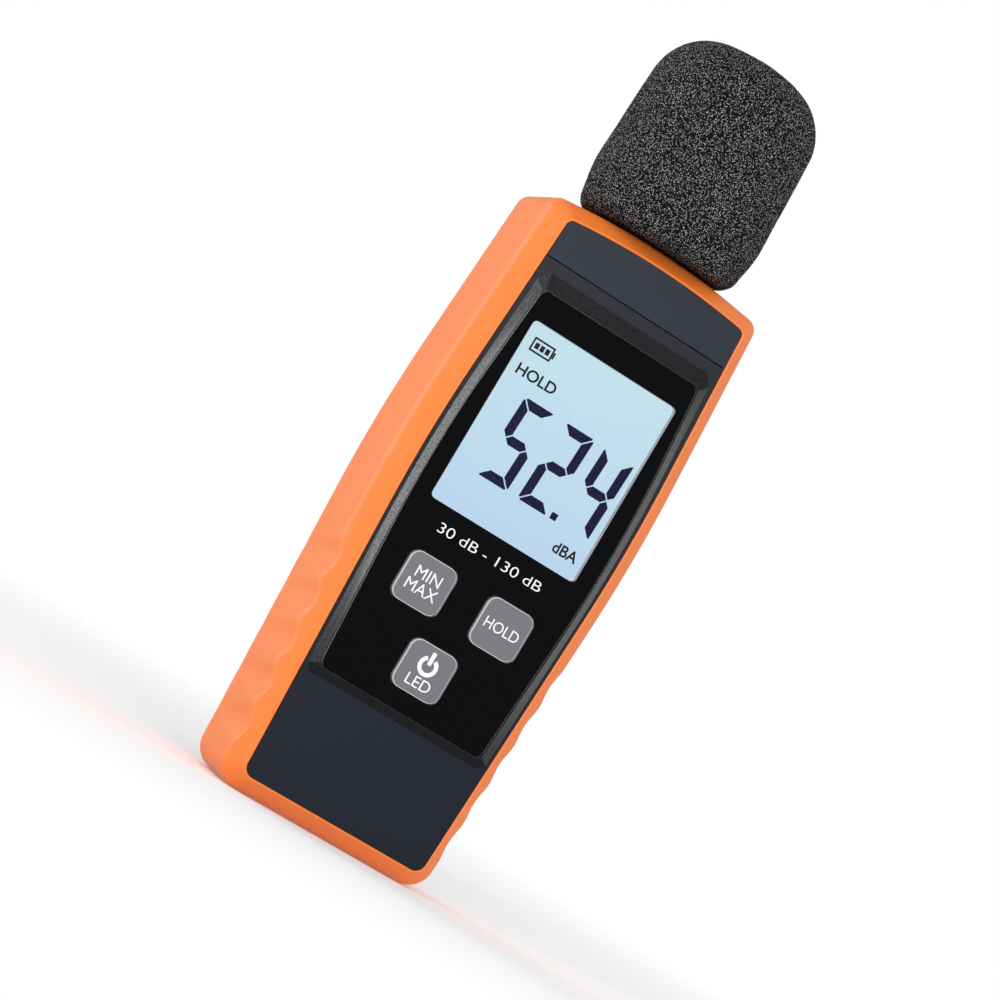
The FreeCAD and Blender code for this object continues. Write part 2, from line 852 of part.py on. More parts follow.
def make_chip():
    """Square processor package on the rear of the board."""
    top = S.insert_height - 1
    rear = BOARD_REAR + S.chip_thickness
    return block("control_chip", S.chip_side * 0.5, BOARD_REAR, rear, top - S.chip_side, top)


# ---------------------------------------------------------------- microphone and windscreen


def make_microphone():
    """Tube with its flange under the case top, the capsule in a rubber sleeve, and a perforated grille."""
    axis = S.mic_axis_depth
    tube = new_body("microphone_tube")
    revolve(
        tube, axis,
        [
            (S.tube_bore, S.tube_bottom, 0),
            (S.tube_radius, S.tube_bottom, 0),
            (S.tube_radius, S.tube_flange_bottom, 0),
            (S.tube_flange_radius, S.tube_flange_bottom, 0),
            (S.tube_flange_radius, S.tube_flange_top, 0),
            (S.tube_radius, S.tube_flange_top, 0),
            (S.tube_radius, S.tube_top, 0.8),
            (S.tube_bore, S.tube_top, 0),
        ],
    )
    capsule_top = S.capsule_bottom + S.capsule_height
    capsule = new_body("microphone_capsule")
    revolve(
        capsule, axis,
        [
            (0, S.capsule_bottom, 0),
            (S.capsule_radius, S.capsule_bottom, 0),
            (S.capsule_radius, capsule_top, 0.3),
            (0, capsule_top, 0),
        ],
    )
    sleeve = new_body("capsule_sleeve")
    revolve(
        sleeve, axis,
        [
            (S.capsule_radius + 0.02, S.capsule_bottom + 0.3, 0),
            (S.tube_bore - 0.02, S.capsule_bottom + 0.3, 0),
            (S.tube_bore - 0.02, capsule_top - 0.3, 0),
            (S.capsule_radius + 0.02, capsule_top - 0.3, 0),
        ],
    )
    return [tube, capsule, sleeve, make_grille(), make_leads()]


def make_grille():
    """Perforated disc that closes the tube above the capsule."""
    body = new_body("microphone_grille")
    bottom = S.capsule_bottom + S.capsule_height + 0.6
    top = bottom + S.grille_thickness
    rim = S.tube_bore - 0.02
    revolve(
        body, S.mic_axis_depth,
        [(0, bottom, 0), (rim, bottom, 0), (rim, top, 0), (0, top, 0)],
    )
    for count, ring in ((1, 0), (6, 1.6), (12, 3.2)):
        sketch = sketch_on(body, "XY_Plane", top + 1)
        for step in range(count):
            angle = 2 * math.pi * step / count
            x = round(ring * math.cos(angle), 9)
            depth = S.mic_axis_depth + ring * math.sin(angle)
            draw_circle(sketch, x, depth, S.grille_hole)
        extrude(body, "Pocket", sketch, S.grille_thickness + 2, False, False)
    return body


def make_wire(label, side, radius, points):
    """Round wire through points (depth, height), one straight run after another with round elbows."""
    pieces = []
    for (depth, height), (next_depth, next_height) in zip(points, points[1:]):
        run = document.addObject("Part::Cylinder", label + "_run")
        bind(run, "Radius", radius)
        rise = as_size(next_height) - height
        if abs(rise.value) > 1e-6:
            turned = FreeCAD.Rotation(FreeCAD.Vector(1, 0, 0), 0 if rise.value > 0 else 180)
            length = rise
        else:
            length = as_size(next_depth) - depth
            turned = FreeCAD.Rotation(FreeCAD.Vector(1, 0, 0), -90 if length.value > 0 else 90)
        run.Placement = FreeCAD.Placement(FreeCAD.Vector(), turned)
        bind(run, "Height", length if length.value > 0 else -length)
        pieces.append(place(run, side, depth, height))
    for depth, height in points[1:-1]:
        elbow = document.addObject("Part::Sphere", label + "_elbow")
        bind(elbow, "Radius", radius)
        pieces.append(place(elbow, side, depth, height))
    wire = document.addObject("Part::MultiFuse", label)
    wire.Shapes = pieces
    return wire


def make_leads():
    """Two leads from the capsule down to the rear face of the board."""
    path = [
        (S.mic_axis_depth, S.capsule_bottom),
        (S.mic_axis_depth, S.board_top - 6),
        (BOARD_REAR, S.board_top - 6),
    ]
    wires = [
        make_wire("microphone_lead_%s" % name, side, S.lead_radius, path)
        for name, side in (("left", -S.lead_spread), ("right", S.lead_spread))
    ]
    return group("microphone_leads", wires)


def make_windscreen():
    """Foam windscreen: a domed cup that slips over the microphone tube."""
    body = new_body("foam_windscreen")
    revolve(
        body, S.mic_axis_depth,
        [
            (S.foam_bore, S.foam_base, 0.5),
            (S.foam_base_radius, S.foam_base, S.foam_base_round),
            (S.foam_radius, S.foam_widest, S.foam_waist_round),
            (S.foam_shoulder_radius, S.foam_shoulder_height, S.foam_shoulder_round),
            (0, S.foam_top, 0),
            (0, S.foam_bore_top, 0),
            (S.foam_bore, S.foam_bore_top, 0),
        ],
    )
    return body


# ---------------------------------------------------------------- battery bay


def make_door():
    """Battery door: a plate with a rounded hinge edge, two pintles and a slotted snap tongue."""
    body = new_body("battery_door")
    front = BACK - S.door_thickness
    pad = pad_between(body, front, BACK, box_corners(S.door_half, S.door_bottom, S.door_top))
    rounded = soften(
        body, pad,
        lambda edge: abs(edge.CenterOfMass.z - DIMENSIONS["door_bottom"]) < 1e-3
        and edge.Length > DIMENSIONS["door_half"],
        S.door_thickness * 0.5 - 0.01,
    )
    body.Tip = rounded
    pintles = sketch_on(body, "YZ_Plane", S.door_half + S.pintle_length)
    draw_circle(pintles, *hinge_axis(), S.pintle_radius)
    extrude(body, "Pad", pintles, (S.door_half + S.pintle_length) * 2, True, True)
    slot_bottom = S.door_top - S.tongue_length
    for side in (-1, 1):
        middle = S.tongue_half * side
        slot = box_corners(S.tongue_slot * 0.5, slot_bottom, S.door_top + 1, 0, middle)
        pocket_between(body, front - 1, BACK + 1, slot)
    for step in range(3):
        bottom = slot_bottom + 3 + S.groove_pitch * step
        groove = box_corners(S.groove_half, bottom, bottom + S.groove_width)
        pocket_between(body, BACK - S.groove_depth, BACK, groove)
    return body


def make_cell(number, centre):
    """Round dry cell with its raised positive end, standing upright in the bay."""
    body = new_body("battery_cell_%d" % number)
    bottom = S.bay_bottom + S.cell_lift
    top = bottom + S.cell_length
    revolve(
        body, 0,
        [
            (0, bottom, 0),
            (S.cell_radius, bottom, 0.5),
            (S.cell_radius, top, 0.5),
            (S.nub_radius, top, 0),
            (S.nub_radius, top + S.nub_height, 0),
            (0, top + S.nub_height, 0),
        ],
    )
    return place(body, centre, S.cell_axis_depth)


def make_spring(number, centre):
    """Coil spring at a cell's negative end."""
    body = new_body("battery_spring_%d" % number)
    turns = 4
    bottom = S.bay_bottom + S.spring_lift + S.spring_wire
    top = S.bay_bottom + S.cell_lift - S.spring_wire
    profile = front_sketch(body, 0)
    draw_circle(profile, S.spring_radius, bottom, S.spring_wire)

    def setup(feature):
        feature.ReferenceAxis = (profile, ["V_Axis"])
        feature.Mode = 2
        bind(feature, "Height", top - bottom - 0.1)
        feature.Turns = turns
        feature.Growth = 0

    add_feature(body, "AdditiveHelix", profile, True, setup)
    return place(body, centre, S.cell_axis_depth)


def make_contacts():
    """Flat contact plates: one under each spring and one over each positive end."""
    half = S.contact_side * 0.5
    front, back = S.cell_axis_depth - half, S.cell_axis_depth + half
    plates = []
    for number, centre in enumerate(cell_centres(), start=1):
        for kind, bottom in (("spring", S.bay_bottom), ("nub", S.bay_top - S.contact_thickness)):
            label = "%s_plate_%d" % (kind, number)
            top = bottom + S.contact_thickness
            plates.append(block(label, half, front, back, bottom, top, centre))
    return group("battery_contacts", plates)


def cell_centres():
    return [-S.cell_pitch, as_size(0), S.cell_pitch]


def make_battery_parts():
    cells = [make_cell(number, x) for number, x in enumerate(cell_centres(), start=1)]
    springs = [make_spring(number, x) for number, x in enumerate(cell_centres(), start=1)]
    bay_front = S.bay_floor - S.bay_wall
    path = [
        (bay_front, S.bay_top - 4),
        (bay_front - 3, S.bay_top - 4),
        (bay_front - 3, S.bay_top + 7),
        (BOARD_REAR, S.bay_top + 7),
    ]
    wires = [
        make_wire("supply_lead_%s" % name, side, 0.6, path)
        for name, side in (("left", -9), ("right", 9))
    ]
    return cells + [group("battery_springs", springs), make_contacts(), group("battery_leads", wires)]


# ---------------------------------------------------------------- fasteners


def make_screw(label, x, z, head_front, head_radius, head_height, radius, reach):
    """Cross-head screw driven from the back: the shank runs forward from under the head."""
    body = new_body(label)
    head_back = head_front + head_height
    pad_discs(body, head_front, head_back, [(x, z, head_radius)])
    pad_discs(body, head_front - reach, head_front, [(x, z, radius)])
    arm, half_width = head_radius * 0.55, S.cross_half_width
    for half, tall in ((arm, half_width), (half_width, arm)):
        corners = box_corners(half, z - tall, z + tall, 0, x)
        pocket_between(body, head_back - S.cross_depth, head_back + 1, corners)
    return body


def make_case_screws():
    places = case_screw_places(S.case_screw_radius)
    return group(
        "case_screws",
        [
            make_screw(
                "case_screw_%d" % number, x, z, BACK - S.case_screw_sink, S.case_screw_head,
                S.case_screw_head_height, radius, S.case_screw_reach,
            )
            for number, (x, z, radius) in enumerate(places, start=1)
        ],
    )


def make_board_screws():
    places = board_screw_places(S.board_screw_radius)
    return group(
        "board_screws",
        [
            make_screw(
                "board_screw_%d" % number, x, z, BOARD_REAR + S.gap, S.board_screw_head,
                S.board_screw_head_height, radius, S.board_screw_reach,
            )
            for number, (x, z, radius) in enumerate(places, start=1)
        ],
    )


def make_insert():
    """Brass tripod insert, flush with the back."""
    body = new_body("tripod_insert")
    front = BACK - S.insert_length
    pad_discs(body, front, BACK, [(0, S.insert_height, S.insert_radius)])
    drill(body, front - 1, BACK + 1, [(0, S.insert_height, S.insert_bore)])
    return body


# ---------------------------------------------------------------- the whole meter


def make_all():
    pieces = [make_boot(), make_front_shell(), make_head_cap(), make_rear_shell()]
    pieces += [make_bezel(), make_panel()]
    pieces += make_display()
    for name, centre in KEY_PLACES.items():
        pieces += [make_key(name, centre), make_switch(name, centre), make_plunger(name, centre)]
    pieces += [make_board(), make_chip()]
    pieces += make_microphone()
    pieces += [make_windscreen(), make_door()]
    pieces += make_battery_parts()
    pieces += [make_case_screws(), make_board_screws(), make_insert()]
    return pieces


def check_and_export(pieces):
    """Stops on any failed feature or bad shape, then writes one STEP file per piece."""
    document.recompute()
    failed = [item.Label for item in document.Objects if {"Invalid", "Error"} & set(item.State)]
    if failed:
        raise RuntimeError("features failed: %s" % failed)
    for piece in pieces:
        if piece.Shape.isNull() or not piece.Shape.isValid() or not piece.Shape.Solids:
            raise RuntimeError("%s has no valid solid" % piece.Label)
    os.makedirs("parts", exist_ok=True)
    for piece in pieces:
        piece.Shape.exportStep(os.path.join("parts", piece.Label + ".step"))


check_and_export(make_all())
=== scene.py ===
"""The looks of a handheld sound level meter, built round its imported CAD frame.

Lengths in the code are millimetres, as in the CAD, and each mesh is scaled to metres when it is made.
X is to the right, Y to the back and Z up, as in the frame.
"""
import math

import bmesh
import bpy
import numpy as np
from mathutils import Matrix, Vector, noise


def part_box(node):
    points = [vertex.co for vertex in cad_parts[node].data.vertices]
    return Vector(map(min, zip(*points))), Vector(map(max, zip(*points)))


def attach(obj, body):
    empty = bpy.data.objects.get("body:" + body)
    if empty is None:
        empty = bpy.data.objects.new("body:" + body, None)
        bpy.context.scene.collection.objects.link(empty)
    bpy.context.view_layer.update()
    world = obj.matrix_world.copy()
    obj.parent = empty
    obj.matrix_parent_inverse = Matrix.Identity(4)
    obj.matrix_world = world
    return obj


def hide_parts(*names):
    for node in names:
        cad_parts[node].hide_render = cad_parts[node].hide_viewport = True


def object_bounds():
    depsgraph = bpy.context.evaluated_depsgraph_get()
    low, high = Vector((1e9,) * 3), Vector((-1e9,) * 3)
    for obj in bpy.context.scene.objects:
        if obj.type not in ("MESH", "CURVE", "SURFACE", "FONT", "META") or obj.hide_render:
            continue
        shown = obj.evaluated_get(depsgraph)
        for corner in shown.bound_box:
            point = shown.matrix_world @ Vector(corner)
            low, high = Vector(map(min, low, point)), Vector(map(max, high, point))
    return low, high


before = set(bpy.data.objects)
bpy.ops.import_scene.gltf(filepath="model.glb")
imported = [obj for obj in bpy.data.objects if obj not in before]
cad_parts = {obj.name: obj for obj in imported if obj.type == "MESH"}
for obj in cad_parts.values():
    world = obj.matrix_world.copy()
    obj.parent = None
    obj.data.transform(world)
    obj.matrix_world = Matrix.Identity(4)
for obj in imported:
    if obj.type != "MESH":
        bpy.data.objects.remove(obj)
CAD_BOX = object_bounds()

MM = 0.001
CASE = "case"
WINDSCREEN = "windscreen"
KEY_BODIES = {"min_max": "min_max_button", "hold": "hold_button", "power": "power_button"}


def node_box(node):
    """Lowest and highest corner of a CAD node, in millimetres."""
    low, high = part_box(node)
    return Vector(low) / MM, Vector(high) / MM


# ---------------------------------------------------------------- materials


def linear(red, green, blue):
    """The linear colour of an sRGB colour given as 0 to 255."""
    channels = []
    for value in (red, green, blue):
        share = value / 255
        channels.append(share / 12.92 if share <= 0.04045 else ((share + 0.055) / 1.055) ** 2.4)
    return (*channels, 1.0)


def shade(colour, factor):
    """A colour made darker or lighter."""
    return (*(channel * factor for channel in colour[:3]), 1.0)


class Finish:
    """A material built up from patterns in the frame's own coordinates."""

    def __init__(self, name, colour, roughness, metallic=0.0, specular=0.5):
        self.material = bpy.data.materials.new(name)
        self.material.use_nodes = True
        self.material.diffuse_color = colour
        self.tree = self.material.node_tree
        self.shader = self.tree.nodes["Principled BSDF"]
        self.set("Base Color", colour)
        self.set("Roughness", roughness)
        self.set("Metallic", metallic)
        self.set("Specular IOR Level", specular)
        self.place = self.tree.nodes.new("ShaderNodeTexCoord").outputs["Object"]

    def set(self, name, value):
        self.shader.inputs[name].default_value = value

    def feed(self, name, output):
        self.tree.links.new(output, self.shader.inputs[name])

    def stretched(self, x, y, z):
        """The coordinates, with patterns drawn out along each axis by a factor."""
        node = self.tree.nodes.new("ShaderNodeMapping")
        node.vector_type = "TEXTURE"
        node.inputs["Scale"].default_value = (x, y, z)
        self.tree.links.new(self.place, node.inputs["Vector"])
        return node.outputs["Vector"]

    def noise(self, size, detail=3.0, place=None):
        """A cloudy pattern with blotches about size millimetres across."""
        node = self.tree.nodes.new("ShaderNodeTexNoise")
        node.inputs["Scale"].default_value = 1 / (size * MM)
        node.inputs["Detail"].default_value = detail
        self.tree.links.new(place or self.place, node.inputs["Vector"])
        return node.outputs["Fac"]

    def cells(self, size):
        """The distance from the nearest of many points about size millimetres apart, in that unit."""
        node = self.tree.nodes.new("ShaderNodeTexVoronoi")
        node.inputs["Scale"].default_value = 1 / (size * MM)
        self.tree.links.new(self.place, node.inputs["Vector"])
        return node.outputs["Distance"]

    def along(self, axis):
        """One coordinate of the point, in metres."""
        node = self.tree.nodes.new("ShaderNodeSeparateXYZ")
        self.tree.links.new(self.place, node.inputs["Vector"])
        return node.outputs[axis]

    def facing(self, axis):
        """How much the surface is turned along an axis, from -1 to 1."""
        node = self.tree.nodes.new("ShaderNodeSeparateXYZ")
        normal = self.tree.nodes.new("ShaderNodeNewGeometry").outputs["Normal"]
        self.tree.links.new(normal, node.inputs["Vector"])
        return node.outputs[axis]

    def ramp(self, value, low, high, bottom=0.0, top=1.0):
        """The value, with low to high stretched to bottom to top and held there."""
        node = self.tree.nodes.new("ShaderNodeMapRange")
        for name, number in (("From Min", low), ("From Max", high), ("To Min", bottom), ("To Max", top)):
            node.inputs[name].default_value = number
        self.tree.links.new(value, node.inputs["Value"])
        return node.outputs["Result"]

    def combine(self, first, second, operation="MULTIPLY"):
        """Two patterns put together by an arithmetic operation."""
        node = self.tree.nodes.new("ShaderNodeMath")
        node.operation = operation
        self.tree.links.new(first, node.inputs[0])
        self.tree.links.new(second, node.inputs[1])
        return node.outputs["Value"]

    def tint(self, factor, first, second, channel="Base Color"):
        """Colours the surface between first and second."""
        node = self.tree.nodes.new("ShaderNodeMix")
        node.data_type = "RGBA"
        self.tree.links.new(factor, node.inputs["Factor"])
        for socket, value in ((node.inputs[6], first), (node.inputs[7], second)):
            socket.default_value = value
        self.feed(channel, node.outputs[2])

    def relief(self, height, depth):
        """Bumps whose full height is depth millimetres."""
        node = self.tree.nodes.new("ShaderNodeBump")
        node.inputs["Distance"].default_value = depth * MM
        self.tree.links.new(height, node.inputs["Height"])
        self.feed("Normal", node.outputs["Normal"])


def moulded_plastic(name, colour, roughness=0.42, grain=0.35, depth=0.012, specular=0.3):
    """Moulded plastic: a fine spark-eroded grain over a faint cloudiness."""
    finish = Finish(name, colour, roughness, specular=specular)
    finish.tint(finish.noise(9), shade(colour, 0.88), shade(colour, 1.1))
    height = finish.noise(grain, detail=4.0)
    finish.feed("Roughness", finish.ramp(height, 0.3, 0.7, roughness - 0.06, roughness + 0.08))
    finish.relief(height, depth)
    return finish


def metal(name, colour, roughness, drawn=(1.0, 1.0, 1.0), grain=0.5, depth=0.004):
    """Bare or plated metal with fine tool marks drawn out along one axis."""
    finish = Finish(name, colour, roughness, metallic=1.0)
    marks = finish.noise(grain, detail=5.0, place=finish.stretched(*drawn))
    finish.tint(marks, shade(colour, 0.75), colour)
    finish.feed("Roughness", finish.ramp(marks, 0.3, 0.7, roughness * 0.8, roughness * 1.3))
    finish.relief(marks, depth)
    return finish


def boot_rubber():
    """Soft orange elastomer: satin, with a fine grain."""
    colour = (0.90, 0.205, 0.027, 1.0)
    finish = Finish("boot_rubber_look", colour, 0.42, specular=0.5)
    finish.tint(finish.noise(14), shade(colour, 0.95), shade(colour, 1.05))
    grain = finish.noise(0.28, detail=4.0)
    finish.feed("Roughness", finish.ramp(grain, 0.3, 0.7, 0.38, 0.52))
    finish.relief(grain, 0.010)
    return finish


def key_plastic():
    """Satin grey key, with a painted highlight: its rounded edge, turned away from the front, is coloured
    paler.
    """
    finish = Finish("key_plastic_look", linear(110, 112, 115), 0.4, specular=0.4)
    # painted highlight: faces turned away from the front are tinted pale grey, as if catching the light
    painted_rim_highlight = finish.ramp(finish.facing("Y"), -0.97, -0.8)
    finish.tint(painted_rim_highlight, linear(110, 112, 115), linear(205, 207, 210))
    grain = finish.noise(0.5, detail=4.0)
    finish.feed("Roughness", finish.ramp(grain, 0.3, 0.7, 0.34, 0.48))
    finish.relief(grain, 0.008)
    return finish


def front_plate_plastic():
    """Graphite plastic with a painted sheen: paler towards the microphone end, where the light falls
    brighter.
    """
    low, high = node_box("front_shell")
    finish = moulded_plastic("front_plate_look", (0.014, 0.0155, 0.0235, 1.0), 0.4)
    # painted sheen: darker at the bottom of the plate, paler towards its top
    height = finish.ramp(finish.along("Z"), (low.z + 30) * MM, high.z * MM)
    finish.tint(height, (0.011, 0.0142, 0.0245, 1.0), (0.0195, 0.021, 0.0262, 1.0))
    return finish


def panel_gloss():
    """Black printed acrylic with a polished face, and a painted highlight: faces turned to the sides are
    tinted pale in specks.
    """
    black = (0.0025, 0.0026, 0.003, 1.0)
    finish = Finish("panel_gloss_look", black, 0.06, specular=0.3)
    specks = finish.noise(1.8, detail=5.0)
    # painted highlight: the side bevels are coloured pale grey, as if they caught the lamps
    sideways = finish.facing("X")
    edge = finish.ramp(finish.combine(sideways, sideways), 0.1, 0.4)
    finish.tint(finish.combine(edge, finish.ramp(specks, 0.2, 0.8, 0.8, 1.0)), black, (0.4, 0.41, 0.43, 1.0))
    finish.feed("Roughness", finish.ramp(specks, 0.3, 0.7, 0.04, 0.09))
    finish.relief(finish.noise(6, detail=1.0), 0.004)
    return finish


def clear_window():
    """Thin clear acrylic over the display."""
    finish = Finish("window_look", (0.02, 0.025, 0.025, 1.0), 0.03)
    finish.set("Alpha", 0.06)
    finish.feed("Roughness", finish.ramp(finish.noise(3), 0.3, 0.7, 0.02, 0.05))
    return finish


def lit_display():
    """Backlit display glass: pale blue, a little deeper towards the bottom, with faint cloudy patches."""
    low, high = node_box("lcd_glass")
    top = (0.595, 0.825, 0.915, 1.0)
    bottom = (0.535, 0.725, 0.92, 1.0)
    finish = Finish("display_glass_look", (0.02, 0.025, 0.03, 1.0), 0.2)
    height = finish.ramp(finish.along("Z"), low.z * MM, high.z * MM)
    cloud = finish.ramp(finish.noise(16, detail=1.0), 0.2, 0.8, 0.8, 1.2)
    finish.tint(finish.combine(height, cloud), bottom, top, "Emission Color")
    finish.set("Emission Strength", 1.0)
    return finish


def display_ink():
    """Dark display segments, blue-black, with a slightly uneven density."""
    finish = Finish("display_ink_look", (0.009, 0.008, 0.045, 1.0), 0.5, specular=0.1)
    finish.tint(finish.noise(0.8), (0.007, 0.006, 0.035, 1.0), (0.014, 0.012, 0.065, 1.0))
    return finish


def symbol_ink():
    """Finer display symbols, dark grey."""
    finish = Finish("symbol_ink_look", (0.012, 0.013, 0.018, 1.0), 0.5, specular=0.1)
    finish.tint(finish.noise(0.8), (0.009, 0.010, 0.014, 1.0), (0.020, 0.021, 0.028, 1.0))
    return finish


def white_print():
    """White ink printed on the panel and the keys."""
    finish = Finish("white_print_look", (0.85, 0.86, 0.87, 1.0), 0.4)
    finish.tint(finish.noise(0.5), (0.72, 0.73, 0.75, 1.0), (0.93, 0.93, 0.94, 1.0))
    return finish


def open_foam():
    """Charcoal open-cell foam: near-black pores, partly the foam's own charcoal and partly painted shade,
    between struts painted pale grey as a highlight.
    """
    finish = Finish("windscreen_foam_look", (0.02, 0.02, 0.02, 1.0), 0.9, specular=0.1)
    coarse = finish.ramp(finish.cells(0.46), 0.32, 0.12)
    fine = finish.ramp(finish.cells(0.36), 0.32, 0.12)
    strut = finish.combine(coarse, fine, "MAXIMUM")
    # painted highlight on the struts and painted shade in the pores, over the charcoal of the foam
    finish.tint(strut, (0.005, 0.005, 0.006, 1.0), (0.55, 0.55, 0.55, 1.0))
    finish.relief(strut, 0.10)
    return finish


def dress(finish, *nodes):
    """Gives the CAD nodes this finish."""
    for node in nodes:
        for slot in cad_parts[node].material_slots:
            slot.material = finish.material


# ---------------------------------------------------------------- mesh helpers


def finish_piece(mesh, name, body, finish, smooth_below=35):
    """Makes a mesh, in millimetres, a named piece in metres that rides on a CAD body."""
    mesh.transform(Matrix.Scale(MM, 4))
    mesh.materials.clear()
    mesh.materials.append(finish.material)
    mesh.name = name
    mesh.shade_smooth()
    mesh.set_sharp_from_angle(angle=math.radians(smooth_below))
    piece = bpy.data.objects.new(name, mesh)
    bpy.context.scene.collection.objects.link(piece)
    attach(piece, body)
    return piece


def baked(holder):
    """The mesh that an object's shape and modifiers give. The object itself is removed."""
    graph = bpy.context.evaluated_depsgraph_get()
    mesh = bpy.data.meshes.new_from_object(holder.evaluated_get(graph))
    bpy.data.objects.remove(holder)
    return mesh


def hold(data):
    """A plain object that carries data while its modifiers are worked out."""
    holder = bpy.data.objects.new("holder", data)
    bpy.context.scene.collection.objects.link(holder)
    return holder


def rounded(corners, side_steps=None, arc_steps=8):
    """Points (x, z) along a closed outline through corners (x, z, radius), rounded by tangent arcs.

    side_steps says into how many steps the straight after each corner is divided.
    """
    arcs = []
    count = len(corners)
    for i, (x, z, radius) in enumerate(corners):
        corner = Vector((x, z))
        back = (Vector(corners[i - 1][:2]) - corner).normalized()
        ahead = (Vector(corners[(i + 1) % count][:2]) - corner).normalized()
        half_angle = back.angle(ahead) / 2
        centre = corner + (back + ahead).normalized() * radius / math.sin(half_angle)
        first = corner + back * radius / math.tan(half_angle) - centre
        last = corner + ahead * radius / math.tan(half_angle) - centre
        turn = math.pi - 2 * half_angle
        arc = []
        for step in range(arc_steps + 1):
            share = step / arc_steps
            spoke = first * math.sin((1 - share) * turn) + last * math.sin(share * turn)
            arc.append(centre + spoke / math.sin(turn))
        arcs.append(arc)
    points = []
    for i, arc in enumerate(arcs):
        points += arc
        following = arcs[(i + 1) % count][0]
        steps = side_steps[i] if side_steps else 1
        points += [arc[-1].lerp(following, step / steps) for step in range(1, steps)]
    return points


def mirrored(right_side):
    """Closes a symmetric outline from its right-hand corners, listed from the bottom up."""
    return right_side + [(-x, z, radius) for x, z, radius in reversed(right_side)]


def rectangle(x, z, half_wide, half_high, radius):
    """Corners of a rectangle about the point (x, z)."""
    sides = ((-1, -1), (1, -1), (1, 1), (-1, 1))
    return [(x + half_wide * i, z + half_high * j, radius) for i, j in sides]


def upright(mesh, front):
    """Stands a mesh drawn in x and y up in X and Z, with its height 0 at the depth front."""
    mesh.transform(Matrix.Translation((0, front, 0)) @ Matrix.Rotation(math.pi / 2, 4, "X"))
    return mesh


def slab(outlines, front, back, bevel):
    """A flat sheet between two depths, with bevelled edges. Outlines inside another are holes."""
    curve = bpy.data.curves.new("slab", "CURVE")
    curve.dimensions = "2D"
    curve.fill_mode = "BOTH"
    curve.extrude = (back - front) / 2 - bevel
    curve.bevel_depth = bevel
    curve.bevel_resolution = 2
    curve.offset = -bevel
    for outline in outlines:
        spline = curve.splines.new("POLY")
        spline.points.add(len(outline) - 1)
        spline.use_cyclic_u = True
        for point, (x, z) in zip(spline.points, outline):
            point.co = (x, z, 0, 1)
    return upright(baked(hold(curve)), (front + back) / 2)


def joined(meshes):
    """Several meshes as one."""
    whole = bmesh.new()
    for mesh in meshes:
        whole.from_mesh(mesh)
        bpy.data.meshes.remove(mesh)
    result = bpy.data.meshes.new("joined")
    whole.to_mesh(result)
    whole.free()
    return result


def words(text, middle, low, wide, high, front, thickness, weight=0.0):
    """Raised letters scaled to a width and a cap height, with their backs thickness behind front."""
    curve = bpy.data.curves.new("words", "FONT")
    curve.body = text
    curve.fill_mode = "BOTH"
    curve.offset = weight
    curve.extrude = 0.5
    mesh = baked(hold(curve))
    points = np.array([vertex.co for vertex in mesh.vertices])
    lowest, highest = points.min(axis=0), points.max(axis=0)
    span = highest - lowest
    centre = (lowest + highest) / 2
    fit = Matrix.Diagonal((wide / span[0], high / span[1], thickness, 1))
    mesh.transform(fit @ Matrix.Translation((-centre[0], -lowest[1], 0)))
    upright(mesh, front + thickness / 2)
    mesh.transform(Matrix.Translation((middle, 0, low)))
    return mesh


# ---------------------------------------------------------------- rubber boot

BODY_LOW, BODY_HIGH = node_box("rubber_boot")
FRONT, BACK = BODY_LOW.y, BODY_HIGH.y
BODY_TOP = BODY_HIGH.z
WIDEST_HEIGHT = 83.0
FLANK_RADIUS = 344.0
CROWN_RADIUS = 165.0
CROWN_SLOPE = 0.115
CROWN_RISE = 1.088
BOTTOM_HALF, WIDEST_HALF, TOP_HALF = 25.64, 29.54, 26.43
BOOT_CORNERS = (5.5, 3.0)
WALL_CORNERS = (2.3, 2.0)
PLATE_BOTTOM_HALF, PLATE_WIDEST_HALF, PLATE_TOP_HALF = 21.78, 25.05, 22.39
PLATE_CORNERS = (2.3, 1.5)
PLATE_BOTTOM, PLATE_TOP = 4.0, 136.95
PLATE_PLAY = 0.02
FRONT_RIM_DEPTH = 5.5
REAR_RIM_DEPTH = 2.2
REAR_RIM_INSET = 2.2
REAR_OPENING_INSET = 4.6
BOOT_WALL = 3.2
RIM_LAND = 0.4
LIP_RECESS = 0.15
TUBE_HOLE_RADIUS, TUBE_DRILL_DEPTH = 6.7, 16
FLANK_SLOPE = 0.047
FRONT_CREASE = FRONT + FRONT_RIM_DEPTH
REAR_CREASE = BACK - REAR_RIM_DEPTH
LIP_DEPTH = 3.5
GRIP_COUNT = 5
GRIP_FIRST = 12.3
GRIP_PITCH = 9.6
GRIP_RADIUS = 8.0
GRIP_CUT = 1.1
GRIP_SOFTNESS = 0.18
GRIP_REACH = 1.0
RING_SPACING = 0.9
SIDE_STEPS = (80, 40, 12, 12, 40, 80, 24)
ARC_STEPS = 12


def crowned(bottom, widest, top, corner_radii, low, high):
    """An outline with tapered flanks and a gently arched top."""
    peak = high + CROWN_RISE
    right_side = [
        (bottom, low, corner_radii[0]),
        (widest, WIDEST_HEIGHT, FLANK_RADIUS),
        (top, peak - top * CROWN_SLOPE, corner_radii[1]),
    ]
    corners = right_side + [(0, peak, CROWN_RADIUS)] + mirrored(right_side)[3:]
    return rounded(corners, SIDE_STEPS, ARC_STEPS)


def boot_outline(inset=0.0, corner_radii=BOOT_CORNERS):
    """The boot seen from the front, drawn in by inset."""
    halves = [half - inset for half in (BOTTOM_HALF, WIDEST_HALF, TOP_HALF)]
    return crowned(*halves, corner_radii, inset, BODY_TOP - inset)


